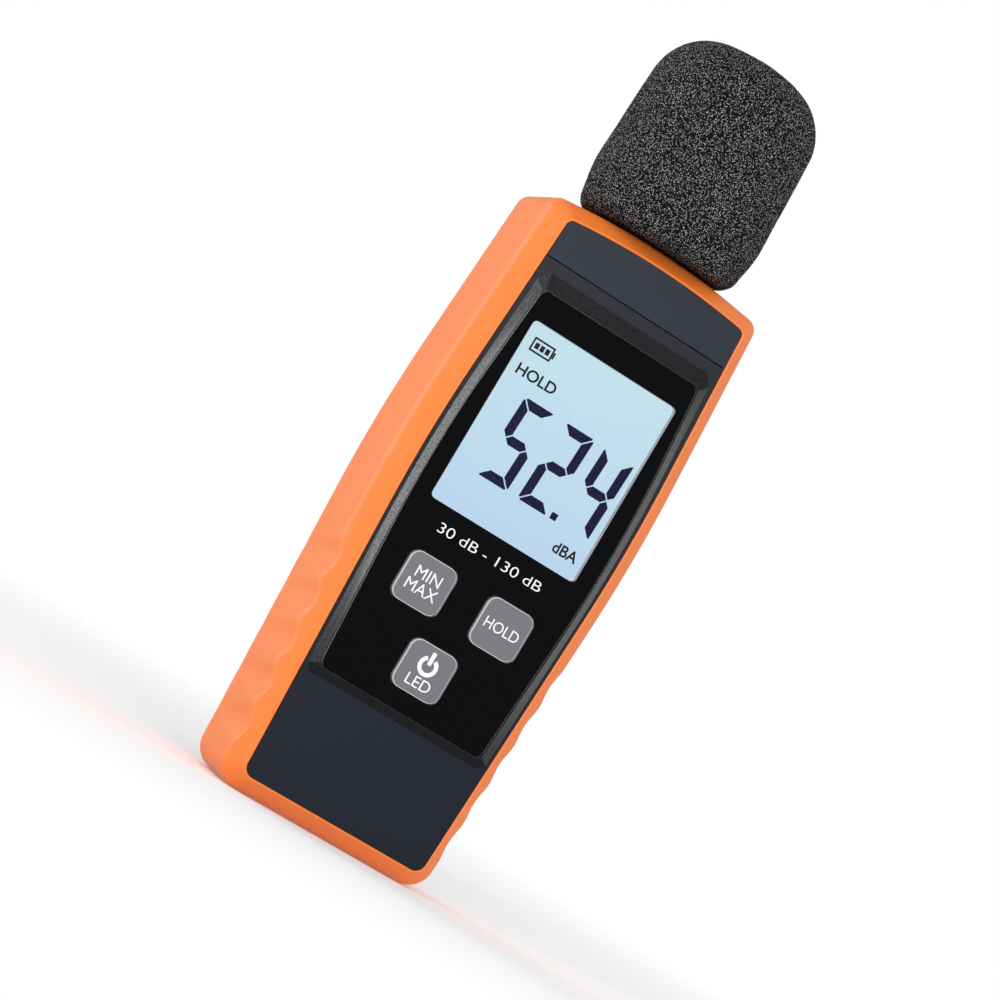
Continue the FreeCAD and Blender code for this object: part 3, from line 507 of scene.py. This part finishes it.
def plate_outline(outset):
    """The front plate seen from the front, drawn out by outset."""
    halves = [half + outset for half in (PLATE_BOTTOM_HALF, PLATE_WIDEST_HALF, PLATE_TOP_HALF)]
    radii = [radius + outset for radius in PLATE_CORNERS]
    return crowned(*halves, radii, PLATE_BOTTOM - outset, PLATE_TOP + outset)


def ring(outline, depth):
    """An outline stood up at a depth, as rows of X, Y and Z."""
    return np.array([(x, depth, z) for x, z in outline])


def scalloped(points):
    """A ring with its flanks pressed in by the finger scallops, which run out towards the back."""
    row = np.clip(np.round((points[:, 2] - GRIP_FIRST) / GRIP_PITCH), 0, GRIP_COUNT - 1)
    middle = GRIP_FIRST + GRIP_PITCH * row
    flank = BOTTOM_HALF + middle * FLANK_SLOPE
    run_out = (points[:, 1] - FRONT_CREASE) / (REAR_CREASE - FRONT_CREASE)
    radius = GRIP_RADIUS - GRIP_CUT * run_out
    off_middle = np.minimum(np.abs(points[:, 2] - middle), radius)
    floor = flank + GRIP_RADIUS - GRIP_CUT - np.sqrt(radius ** 2 - off_middle ** 2)
    excess = np.abs(points[:, 0]) - floor
    cut = (excess + np.sqrt(excess ** 2 + GRIP_SOFTNESS ** 2)) / 2
    cut[excess < -GRIP_REACH] = 0.0
    pressed = points.copy()
    pressed[:, 0] -= np.sign(points[:, 0]) * cut
    return pressed


def turned_edge(before, corner, after, radius, steps=4):
    """Rings that round an edge of the section, from one side of it to the other."""
    reach_back = np.linalg.norm(before - corner, axis=1, keepdims=True)
    reach_ahead = np.linalg.norm(after - corner, axis=1, keepdims=True)
    first = corner + (before - corner) * np.minimum(radius / reach_back, 0.45)
    last = corner + (after - corner) * np.minimum(radius / reach_ahead, 0.45)
    rings = []
    for step in range(steps + 1):
        share = step / steps
        rings.append(
            first * (1 - share) ** 2 + corner * 2 * share * (1 - share) + last * share ** 2
        )
    return rings


def filled_in(rings, spacing):
    """The closed row of rings, with more put in where two of them are further apart than spacing."""
    closer = []
    for ring_here, ring_there in zip(rings, rings[1:] + rings[:1]):
        gap = np.median(np.linalg.norm(ring_there - ring_here, axis=1))
        steps = max(1, math.ceil(gap / spacing))
        closer += [ring_here + (ring_there - ring_here) * step / steps for step in range(steps)]
    return closer


def tube_of_rings(rings):
    """A closed mesh whose section passes through every ring in turn and back to the first."""
    count = len(rings[0])
    vertices = np.concatenate(rings)
    faces = []
    for i in range(len(rings)):
        here, there = i * count, (i + 1) % len(rings) * count
        for j in range(count):
            k = (j + 1) % count
            faces.append((here + j, here + k, there + k, there + j))
    mesh = bpy.data.meshes.new("rings")
    mesh.from_pydata(vertices.tolist(), [], faces)
    mesh.update()
    return mesh


def tube_drill():
    """A cylinder that cuts the hole for the microphone tube through the top of the boot."""
    tube_low, tube_high = node_box("microphone_tube")
    cutter = bmesh.new()
    bmesh.ops.create_cone(
        cutter, cap_ends=True, segments=64, radius1=TUBE_HOLE_RADIUS, radius2=TUBE_HOLE_RADIUS,
        depth=TUBE_DRILL_DEPTH,
        matrix=Matrix.Translation((0, (tube_low.y + tube_high.y) / 2, BODY_TOP)),
    )
    drill = bpy.data.meshes.new("drill")
    cutter.to_mesh(drill)
    cutter.free()
    return drill


def build_boot(finish):
    """The rubber boot: soft creases along the rims, finger scallops and the hole for the tube."""
    opening = boot_outline(REAR_OPENING_INSET, WALL_CORNERS)
    wall = boot_outline(BOOT_WALL, WALL_CORNERS)
    lip = ring(plate_outline(PLATE_PLAY), FRONT + LIP_RECESS)
    land = ring(plate_outline(RIM_LAND), FRONT)
    front_crease = ring(boot_outline(), FRONT_CREASE)
    rear_crease = ring(boot_outline(), REAR_CREASE)
    rear_land = ring(boot_outline(REAR_RIM_INSET), BACK)
    rear_lip = ring(opening, BACK)
    rear_seat = ring(opening, BACK - LIP_DEPTH)
    rear_wall = ring(wall, BACK - LIP_DEPTH)
    front_wall = ring(wall, FRONT + LIP_DEPTH)
    front_seat = ring(plate_outline(PLATE_PLAY), FRONT + LIP_DEPTH)
    # each corner of the section, and the radius that rounds it
    section = [
        (lip, 0.12), (land, 0.5), (front_crease, 1.6), (rear_crease, 1.3), (rear_land, 0.9),
        (rear_lip, 0.25), (rear_seat, 0.1), (rear_wall, 0.1), (front_wall, 0.1), (front_seat, 0.1),
    ]
    rings = []
    for i, (corner, radius) in enumerate(section):
        before = section[i - 1][0]
        after = section[(i + 1) % len(section)][0]
        rings += turned_edge(before, corner, after, radius)
    rings = [scalloped(row) for row in filled_in(rings, RING_SPACING)]
    boot_holder = hold(tube_of_rings(rings))
    drill_holder = hold(tube_drill())
    cut = boot_holder.modifiers.new("tube_hole", "BOOLEAN")
    cut.operation = "DIFFERENCE"
    cut.solver = "EXACT"
    cut.object = drill_holder
    result = baked(boot_holder)
    bpy.data.objects.remove(drill_holder)
    piece = finish_piece(result, "rubber_boot_shape", CASE, finish, smooth_below=50)
    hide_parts("rubber_boot")


# ---------------------------------------------------------------- panel, window and display

WINDOW_HALF = 18.05
WINDOW_LOW, WINDOW_HIGH = 72.0, 114.2
WINDOW_CORNER = 1.1
PANEL_LOW, PANEL_HIGH = node_box("display_lens")
PANEL_BOTTOM_HALF, PANEL_WIDEST_HALF, PANEL_TOP_HALF = 19.93, 23.0, 19.85
PANEL_FLANK_RADIUS = 280.0
PANEL_CORNER = 1.8
KEY_SIDE = 11.1
KEY_CORNER = 2.2
KEY_GAP = 0.2


def panel_outline():
    """The glossy panel seen from the front."""
    right_side = [
        (PANEL_BOTTOM_HALF, PANEL_LOW.z, PANEL_CORNER),
        (PANEL_WIDEST_HALF, WIDEST_HEIGHT, PANEL_FLANK_RADIUS),
        (PANEL_TOP_HALF, PANEL_HIGH.z, PANEL_CORNER),
    ]
    return rounded(mirrored(right_side), arc_steps=16)


def window_outline(outset=0.0):
    """The display window, drawn out by outset."""
    middle = (WINDOW_LOW + WINDOW_HIGH) / 2
    half_high = (WINDOW_HIGH - WINDOW_LOW) / 2
    corners = rectangle(
        0, middle, WINDOW_HALF + outset, half_high + outset, WINDOW_CORNER + outset
    )
    return rounded(corners)


def key_centres():
    """Middle (x, z) of each key."""
    centres = {}
    for name in KEY_BODIES:
        low, high = node_box(name + "_key")
        centres[name] = ((low.x + high.x) / 2, (low.z + high.z) / 2)
    return centres


def build_panel(gloss, clear):
    """The glossy panel with its window and key holes, and the clear pane in the window."""
    half = KEY_SIDE / 2 + KEY_GAP
    holes = [
        rounded(rectangle(x, z, half, half, KEY_CORNER + KEY_GAP)) for x, z in key_centres().values()
    ]
    outlines = [panel_outline(), window_outline(), *holes]
    mesh = slab(outlines, PANEL_LOW.y, PANEL_HIGH.y, 0.18)
    panel = finish_piece(mesh, "glossy_panel", CASE, gloss)
    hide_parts("display_lens")
    pane = slab([window_outline(-0.03)], PANEL_LOW.y + 0.12, PANEL_LOW.y + 0.6, 0.04)
    window = finish_piece(pane, "display_window", CASE, clear)


DIGIT_LOW, DIGIT_HIGH = 81.0, 99.7
DIGIT_WIDE = 7.55
SEGMENT = 2.05
SEGMENT_GAP = 0.2
SEGMENT_TIP = 0.55
DIGIT_SLANT = 0.035
SEGMENTS_OF = {"5": "afgcd", "2": "abged", "4": "fgbc"}
DIGITS = (("5", -11.65), ("2", -1.45), ("4", 8.8))
POINT_X, POINT_Z = 7.45, 81.75
BATTERY_X, BATTERY_Z = -13.1, 109.85
BATTERY_HALF_WIDE, BATTERY_HALF_HIGH = 2.6, 1.55
BATTERY_LINE = 0.4
BATTERY_BAR_PITCH = 1.3
INK_LAYER = 0.05
INK_BEVEL = 0.01
SYMBOL_HIGH = 2.5
SYMBOL_WEIGHT = 0.018
# text, its middle and its foot, and its width
SYMBOL_WORDS = (("HOLD", -10.9, 102.8, 9.6), ("dBA", 13.6, 75.4, 5.9))


def segment_shapes(left, low, wide, high):
    """The seven bars of one digit, as corner lists."""
    right, top, middle = left + wide, low + high, low + high / 2
    thick, gap, tip = SEGMENT, SEGMENT_GAP, SEGMENT_TIP
    half = thick / 2
    blunt = tip - gap

    def level(z, up):
        """A bar along an outer edge, mitred at both ends, with blunt tips."""
        return [
            (left + tip, z), (right - tip, z), (right - tip, z + blunt * up),
            (right - thick - gap, z + thick * up), (left + thick + gap, z + thick * up),
            (left + tip, z + blunt * up),
        ]

    def post(x, inward, up, far):
        """An upright bar from the waist to a far edge, up or down."""
        return [
            (x, middle + (half + gap) * up), (x, far - tip * up), (x + blunt * inward, far - tip * up),
            (x + thick * inward, far - (thick + gap) * up),
            (x + thick * inward, middle + (half + gap) * up),
            (x + half * inward, middle + gap * up),
        ]

    waist = [
        (left + half + gap, middle), (left + thick + gap, middle + half),
        (right - thick - gap, middle + half), (right - half - gap, middle),
        (right - thick - gap, middle - half), (left + thick + gap, middle - half),
    ]
    return {
        "a": level(top, -1), "d": level(low, 1), "g": waist,
        "f": post(left, 1, 1, top), "b": post(right, -1, 1, top),
        "e": post(left, 1, -1, low), "c": post(right, -1, -1, low),
    }


def slanted(points):
    """Leans a bar to the right, about the foot of the digits."""
    return [(x + (z - DIGIT_LOW) * DIGIT_SLANT, z) for x, z in points]


def battery_symbol():
    """The outlines of the battery sign: its frame, its terminal and three bars."""
    middle = (BATTERY_X, BATTERY_Z)
    wide, high = BATTERY_HALF_WIDE, BATTERY_HALF_HIGH
    outer = rounded(rectangle(*middle, wide, high, 0.1))
    inner = rounded(rectangle(*middle, wide - BATTERY_LINE, high - BATTERY_LINE, 0.1))
    terminal = rounded(rectangle(BATTERY_X + wide + 0.25, BATTERY_Z, 0.22, 0.7, 0.05))
    shapes = [[outer, inner], [terminal]]
    for i in (-1, 0, 1):
        bar = rectangle(BATTERY_X + BATTERY_BAR_PITCH * i, BATTERY_Z, 0.48, 0.65, 0.05)
        shapes.append([rounded(bar)])
    return shapes


def build_reading(ink, fine_ink):
    """The digits and the small symbols, as a thin layer on the face of the display glass."""
    glass_low, _ = node_box("lcd_glass")
    front, back = glass_low.y - INK_LAYER, glass_low.y
    bars = []
    for digit, left in DIGITS:
        shapes = segment_shapes(left, DIGIT_LOW, DIGIT_WIDE, DIGIT_HIGH - DIGIT_LOW)
        bars += [slanted(shapes[name]) for name in SEGMENTS_OF[digit]]
    bars.append(rounded(rectangle(POINT_X, POINT_Z, 0.75, 0.75, 0.1)))
    mesh = joined([slab([bar], front, back, INK_BEVEL) for bar in bars])
    finish_piece(mesh, "display_digits", CASE, ink)

    symbols = [slab(outlines, front, back, INK_BEVEL) for outlines in battery_symbol()]
    for text, x, z, wide in SYMBOL_WORDS:
        symbols.append(words(text, x, z, wide, SYMBOL_HIGH, front, INK_LAYER, SYMBOL_WEIGHT))
    mesh = joined(symbols)
    finish_piece(mesh, "display_symbols", CASE, fine_ink)


def build_panel_print(ink):
    """The measuring range, printed below the window."""
    thickness = 0.03
    front = PANEL_LOW.y - thickness
    mesh = words("30 dB - 130 dB", -0.3, 66.45, 25.6, 2.2, front, thickness + 0.02, -0.008)
    finish_piece(mesh, "range_print", CASE, ink)


# ---------------------------------------------------------------- key legends

PRINT_THICKNESS = 0.05
# text, the height of its foot above the key's middle, its width and its cap height
LEGEND_WORDS = {
    "min_max": (("MIN", 0.35, 5.9, 2.5), ("MAX", -2.75, 7.4, 2.5)),
    "hold": (("HOLD", -1.2, 8.2, 2.4),),
    "power": (("LED", -3.95, 5.7, 2.4),),
}
POWER_SIGN_RISE = 1.15


def power_sign(x, z, front, back):
    """A broken ring with an upright bar through its gap."""
    outer, inner = 2.25, 1.35
    gap = math.radians(30)
    steps = 28
    angles = [math.pi / 2 + gap + (2 * math.pi - 2 * gap) * i / steps for i in range(steps + 1)]
    outside = [(x + outer * math.cos(a), z + outer * math.sin(a)) for a in angles]
    inside = [(x + inner * math.cos(a), z + inner * math.sin(a)) for a in reversed(angles)]
    bar = rounded(rectangle(x, z + 1.75, 0.45, 1.45, 0.1))
    return [slab([shape], front, back, INK_BEVEL) for shape in (outside + inside, bar)]


def build_legends(ink):
    """White legends on the keys. Each rides on its own key."""
    for name, (x, z) in key_centres().items():
        front = node_box(name + "_key")[0].y - PRINT_THICKNESS
        meshes = []
        if name == "power":
            meshes += power_sign(x, z + POWER_SIGN_RISE, front, front + PRINT_THICKNESS)
        for text, rise, wide, high in LEGEND_WORDS[name]:
            meshes.append(words(text, x, z + rise, wide, high, front, PRINT_THICKNESS))
        legend = finish_piece(joined(meshes), name + "_legend", KEY_BODIES[name], ink)


# ---------------------------------------------------------------- foam windscreen

FOAM_VOXEL = 0.36
PORE_SIZE = 0.95
PORE_DEPTH = 0.16
PORE_SHARPNESS = 2.2
PORE_LEVEL = 0.6
LUMP_SIZE, LUMP_HEIGHT = 6.0, 0.12
FOAM_SHOULDER = 174.0
CROWN_BLEND = 10.0
FOAM_LIFT = 0.6
FOAM_TIP = 0.75
FOAM_TIP_RADIUS = 10.0
FOAM_LEAN = 0.026
BORE_REACH = 7.2
BORE_FACING = 0.3
BORE_RELIEF = 0.3


def build_foam(finish):
    """The foam windscreen: the CAD cup with its skin broken up into open pores.

    The bore stays smooth and is drawn back a little, so that it clears the tube.
    """
    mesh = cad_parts["foam_windscreen"].data.copy()
    holder = hold(mesh)
    even = holder.modifiers.new("even", "REMESH")
    even.mode = "VOXEL"
    even.voxel_size = FOAM_VOXEL * MM
    skin = baked(holder)
    skin.transform(Matrix.Scale(1 / MM, 4))
    normals = [vertex.normal.copy() for vertex in skin.vertices]
    foam_low, foam_high = node_box("foam_windscreen")
    axis_depth = (foam_low.y + foam_high.y) / 2
    for vertex, normal in zip(skin.vertices, normals):
        distances, _ = noise.voronoi(vertex.co / PORE_SIZE)
        strut = 1 - min(1.0, (distances[1] - distances[0]) * PORE_SHARPNESS)
        lump = noise.noise(vertex.co / LUMP_SIZE)
        spoke = Vector((vertex.co.x, vertex.co.y - axis_depth, 0))
        off_axis = spoke.length
        if off_axis < BORE_REACH and normal.dot(spoke) < -BORE_FACING * off_axis:
            vertex.co -= normal * BORE_RELIEF
        else:
            vertex.co += normal * (PORE_DEPTH * (strut - PORE_LEVEL) + LUMP_HEIGHT * lump)
        crown = min(1.0, max(0.0, (vertex.co.z - FOAM_SHOULDER) / CROWN_BLEND))
        dimple = FOAM_TIP * max(0.0, 1 - off_axis / FOAM_TIP_RADIUS) ** 2
        vertex.co.z += crown * (FOAM_LIFT - FOAM_LEAN * vertex.co.x - dimple)
    skin.update()
    piece = finish_piece(skin, "foam_cover", WINDSCREEN, finish, smooth_below=80)
    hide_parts("foam_windscreen")


# ---------------------------------------------------------------- finishes of the CAD nodes


def dress_nodes():
    """Finishes of all the nodes that keep their CAD shape."""
    graphite = (0.0125, 0.0145, 0.0235, 1.0)
    dress(front_plate_plastic(), "front_shell")
    # painted sheen: the head cap is a paler copy of the graphite, for the brighter light at the top
    dress(moulded_plastic("cap_plastic_look", (0.0225, 0.0272, 0.0405, 1.0), 0.42), "head_cap")
    frame_paint = (0.0045, 0.0058, 0.0078, 1.0)
    bezel = moulded_plastic("frame_plastic_look", frame_paint, 0.25, depth=0.0006, specular=1.0)
    dress(bezel, "bezel_frame")
    rear = moulded_plastic("rear_plastic_look", graphite, 0.5, grain=0.6, depth=0.04)
    dress(rear, "rear_shell", "battery_door")
    dress(key_plastic(), "min_max_key", "hold_key", "power_key")
    dress(lit_display(), "lcd_glass")
    guide = moulded_plastic("light_guide_look", (0.8, 0.85, 0.9, 1.0), 0.2, depth=0.004)
    dress(guide, "backlight_panel")
    holder = moulded_plastic("holder_plastic_look", (0.7, 0.7, 0.68, 1.0), 0.5)
    dress(holder, "lcd_holder")
    dress(moulded_plastic("rubber_look", (0.02, 0.02, 0.02, 1.0), 0.7), "zebra_connector", "capsule_sleeve")
    switch = moulded_plastic("switch_plastic_look", (0.015, 0.015, 0.015, 1.0), 0.4)
    dress(switch, "min_max_switch", "hold_switch", "power_switch")
    plunger = moulded_plastic("plunger_plastic_look", (0.75, 0.72, 0.62, 1.0), 0.4)
    dress(plunger, "min_max_plunger", "hold_plunger", "power_plunger")
    dress(board_laminate(), "main_board")
    dress(moulded_plastic("chip_epoxy_look", (0.01, 0.01, 0.011, 1.0), 0.5), "control_chip")
    dress(metal("tube_metal_look", (0.045, 0.045, 0.05, 1.0), 0.4, (1, 1, 12)), "microphone_tube")
    dress(metal("capsule_metal_look", (0.75, 0.73, 0.68, 1.0), 0.25), "microphone_capsule")
    dress(metal("grille_metal_look", (0.35, 0.35, 0.36, 1.0), 0.35), "microphone_grille")
    wire = moulded_plastic("wire_look", (0.35, 0.02, 0.015, 1.0), 0.4)
    dress(wire, "microphone_leads", "battery_leads")
    dress(cell_jacket(), "battery_cell_1", "battery_cell_2", "battery_cell_3")
    steel = metal("spring_steel_look", (0.7, 0.7, 0.72, 1.0), 0.22, grain=0.3)
    dress(steel, "battery_springs", "battery_contacts")
    dress(metal("screw_steel_look", (0.5, 0.5, 0.52, 1.0), 0.3, grain=0.25), "case_screws", "board_screws")
    dress(metal("insert_brass_look", (0.75, 0.52, 0.22, 1.0), 0.28, (1, 8, 1)), "tripod_insert")


def board_laminate():
    """Green circuit board with the faint weave of its glass cloth."""
    finish = Finish("board_laminate_look", (0.01, 0.09, 0.03, 1.0), 0.35)
    warp = finish.noise(0.5, place=finish.stretched(8, 1, 1))
    weft = finish.noise(0.5, place=finish.stretched(1, 1, 8))
    weave = finish.combine(warp, weft)
    finish.tint(weave, (0.006, 0.06, 0.02, 1.0), (0.02, 0.13, 0.05, 1.0))
    finish.relief(weave, 0.01)
    return finish


def cell_jacket():
    """Dry cell in a slate-blue printed jacket with a plain pale band near its positive end."""
    low, high = node_box("battery_cell_1")
    slate = (0.05, 0.075, 0.13, 1.0)
    finish = Finish("cell_jacket_look", slate, 0.25)
    edge = low.z + (high.z - low.z) * 0.72
    band = finish.ramp(finish.along("Z"), (edge - 0.05) * MM, (edge + 0.05) * MM)
    finish.tint(band, slate, (0.62, 0.63, 0.65, 1.0))
    finish.relief(finish.noise(0.4), 0.006)
    return finish


# ---------------------------------------------------------------- floor, light and camera


def fading_paper():
    """Pale paper that fades into the white ground far from the object."""
    finish = Finish("floor_paper", (0.9, 0.9, 0.9, 1.0), 0.9, specular=0.0)
    finish.tint(finish.noise(60), (0.89, 0.89, 0.89, 1.0), (0.91, 0.91, 0.91, 1.0))
    finish.set("Emission Color", (1.0, 1.0, 1.0, 1.0))
    finish.set("Emission Strength", 0.1)
    distance = finish.tree.nodes.new("ShaderNodeVectorMath")
    distance.operation = "LENGTH"
    finish.tree.links.new(finish.place, distance.inputs[0])
    finish.feed("Alpha", finish.ramp(distance.outputs["Value"], 0.16, 0.42, 1.0, 0.0))
    return finish


def build_floor():
    """A round sheet of pale paper under the meter."""
    disc = bmesh.new()
    bmesh.ops.create_circle(disc, cap_ends=True, segments=96, radius=0.45)
    mesh = bpy.data.meshes.new("floor")
    disc.to_mesh(mesh)
    disc.free()
    mesh.materials.append(fading_paper().material)
    floor = bpy.data.objects.new("floor", mesh)
    bpy.context.scene.collection.objects.link(floor)
    floor.location.z = CAD_BOX[0][2] - 0.05 * MM
    floor.visible_glossy = False


def build_world():
    """White to the camera and soft daylight on matt surfaces.

    Reflections see a pale wall behind the meter and a dim room in front of it.
    """
    world = bpy.data.worlds.new("studio")
    bpy.context.scene.world = world
    world.use_nodes = True
    tree = world.node_tree
    tree.nodes.clear()
    ray = tree.nodes.new("ShaderNodeLightPath")
    direction = tree.nodes.new("ShaderNodeSeparateXYZ")
    tree.links.new(tree.nodes.new("ShaderNodeTexCoord").outputs["Generated"], direction.inputs["Vector"])
    depth = tree.nodes.new("ShaderNodeMapRange")
    for name, number in (("From Min", -0.3), ("From Max", 0.5), ("To Min", 0.12), ("To Max", 0.55)):
        depth.inputs[name].default_value = number
    tree.links.new(direction.outputs["Y"], depth.inputs["Value"])

    def ground(colour, strength):
        node = tree.nodes.new("ShaderNodeBackground")
        node.inputs["Color"].default_value = (*colour, 1.0)
        node.inputs["Strength"].default_value = strength
        return node

    def choose(question, otherwise, chosen):
        node = tree.nodes.new("ShaderNodeMixShader")
        tree.links.new(ray.outputs[question], node.inputs["Fac"])
        tree.links.new(otherwise, node.inputs[1])
        tree.links.new(chosen, node.inputs[2])
        return node.outputs["Shader"]

    daylight = ground((0.98, 0.985, 1.0), 0.70)
    reflected = ground((0.95, 0.97, 1.0), 1.0)
    tree.links.new(depth.outputs["Result"], reflected.inputs["Strength"])
    seen = ground((1.0, 1.0, 1.0), 1.0)
    matt_or_glossy = choose("Is Glossy Ray", daylight.outputs[0], reflected.outputs[0])
    surface = choose("Is Camera Ray", matt_or_glossy, seen.outputs[0])
    output = tree.nodes.new("ShaderNodeOutputWorld")
    tree.links.new(surface, output.inputs["Surface"])


def add_softbox(name, place, wide, high, power):
    """A rectangular area light at a place in metres from the meter's middle, turned towards it."""
    light = bpy.data.lights.new(name, "AREA")
    light.shape = "RECTANGLE"
    light.size = wide
    light.size_y = high
    light.energy = power
    lamp = bpy.data.objects.new(name, light)
    bpy.context.scene.collection.objects.link(lamp)
    middle = (Vector(CAD_BOX[0]) + Vector(CAD_BOX[1])) / 2
    lamp.location = middle + Vector(place)
    lamp.rotation_euler = (middle - lamp.location).to_track_quat("-Z", "Y").to_euler()


def add_camera():
    """The camera, low and to the left of the meter, rolled so that the meter leans."""
    place = (-0.20197, -0.69094, 0.0386)
    heading = math.radians(-16.30)
    pitch = math.radians(3.268)
    roll = math.radians(30.756)
    turn = (Matrix.Rotation(heading, 4, "Z") @ Matrix.Rotation(math.pi / 2 + pitch, 4, "X")
            @ Matrix.Rotation(roll, 4, "Z"))
    lens = bpy.data.cameras.new("camera")
    lens.sensor_width = 36
    lens.lens = 123.13
    lens.clip_start = 0.01
    camera = bpy.data.objects.new("camera", lens)
    bpy.context.scene.collection.objects.link(camera)
    camera.matrix_world = Matrix.Translation(place) @ turn
    bpy.context.scene.camera = camera


# ---------------------------------------------------------------- the whole scene

dress_nodes()
build_boot(boot_rubber())
build_panel(panel_gloss(), clear_window())
build_reading(display_ink(), symbol_ink())
white = white_print()
build_panel_print(white)
build_legends(white)
build_foam(open_foam())

build_floor()
build_world()
add_softbox("left_strip", (-0.545, -0.58, 0.05), 0.08, 0.7, 1.3)
add_softbox("left_fill", (-0.7, 0.5, 0.1), 0.4, 0.6, 2.4)
add_softbox("front_fill", (-0.14, -0.8, 0.15), 0.44, 0.1, 2.0)
add_softbox("top_softbox", (-0.15, -0.55, 0.6), 0.5, 0.3, 0.6)
add_softbox("right_softbox", (0.78, -0.19, 0.1), 0.3, 0.7, 0.9)
add_camera()
bpy.context.scene.view_settings.view_transform = "Standard"
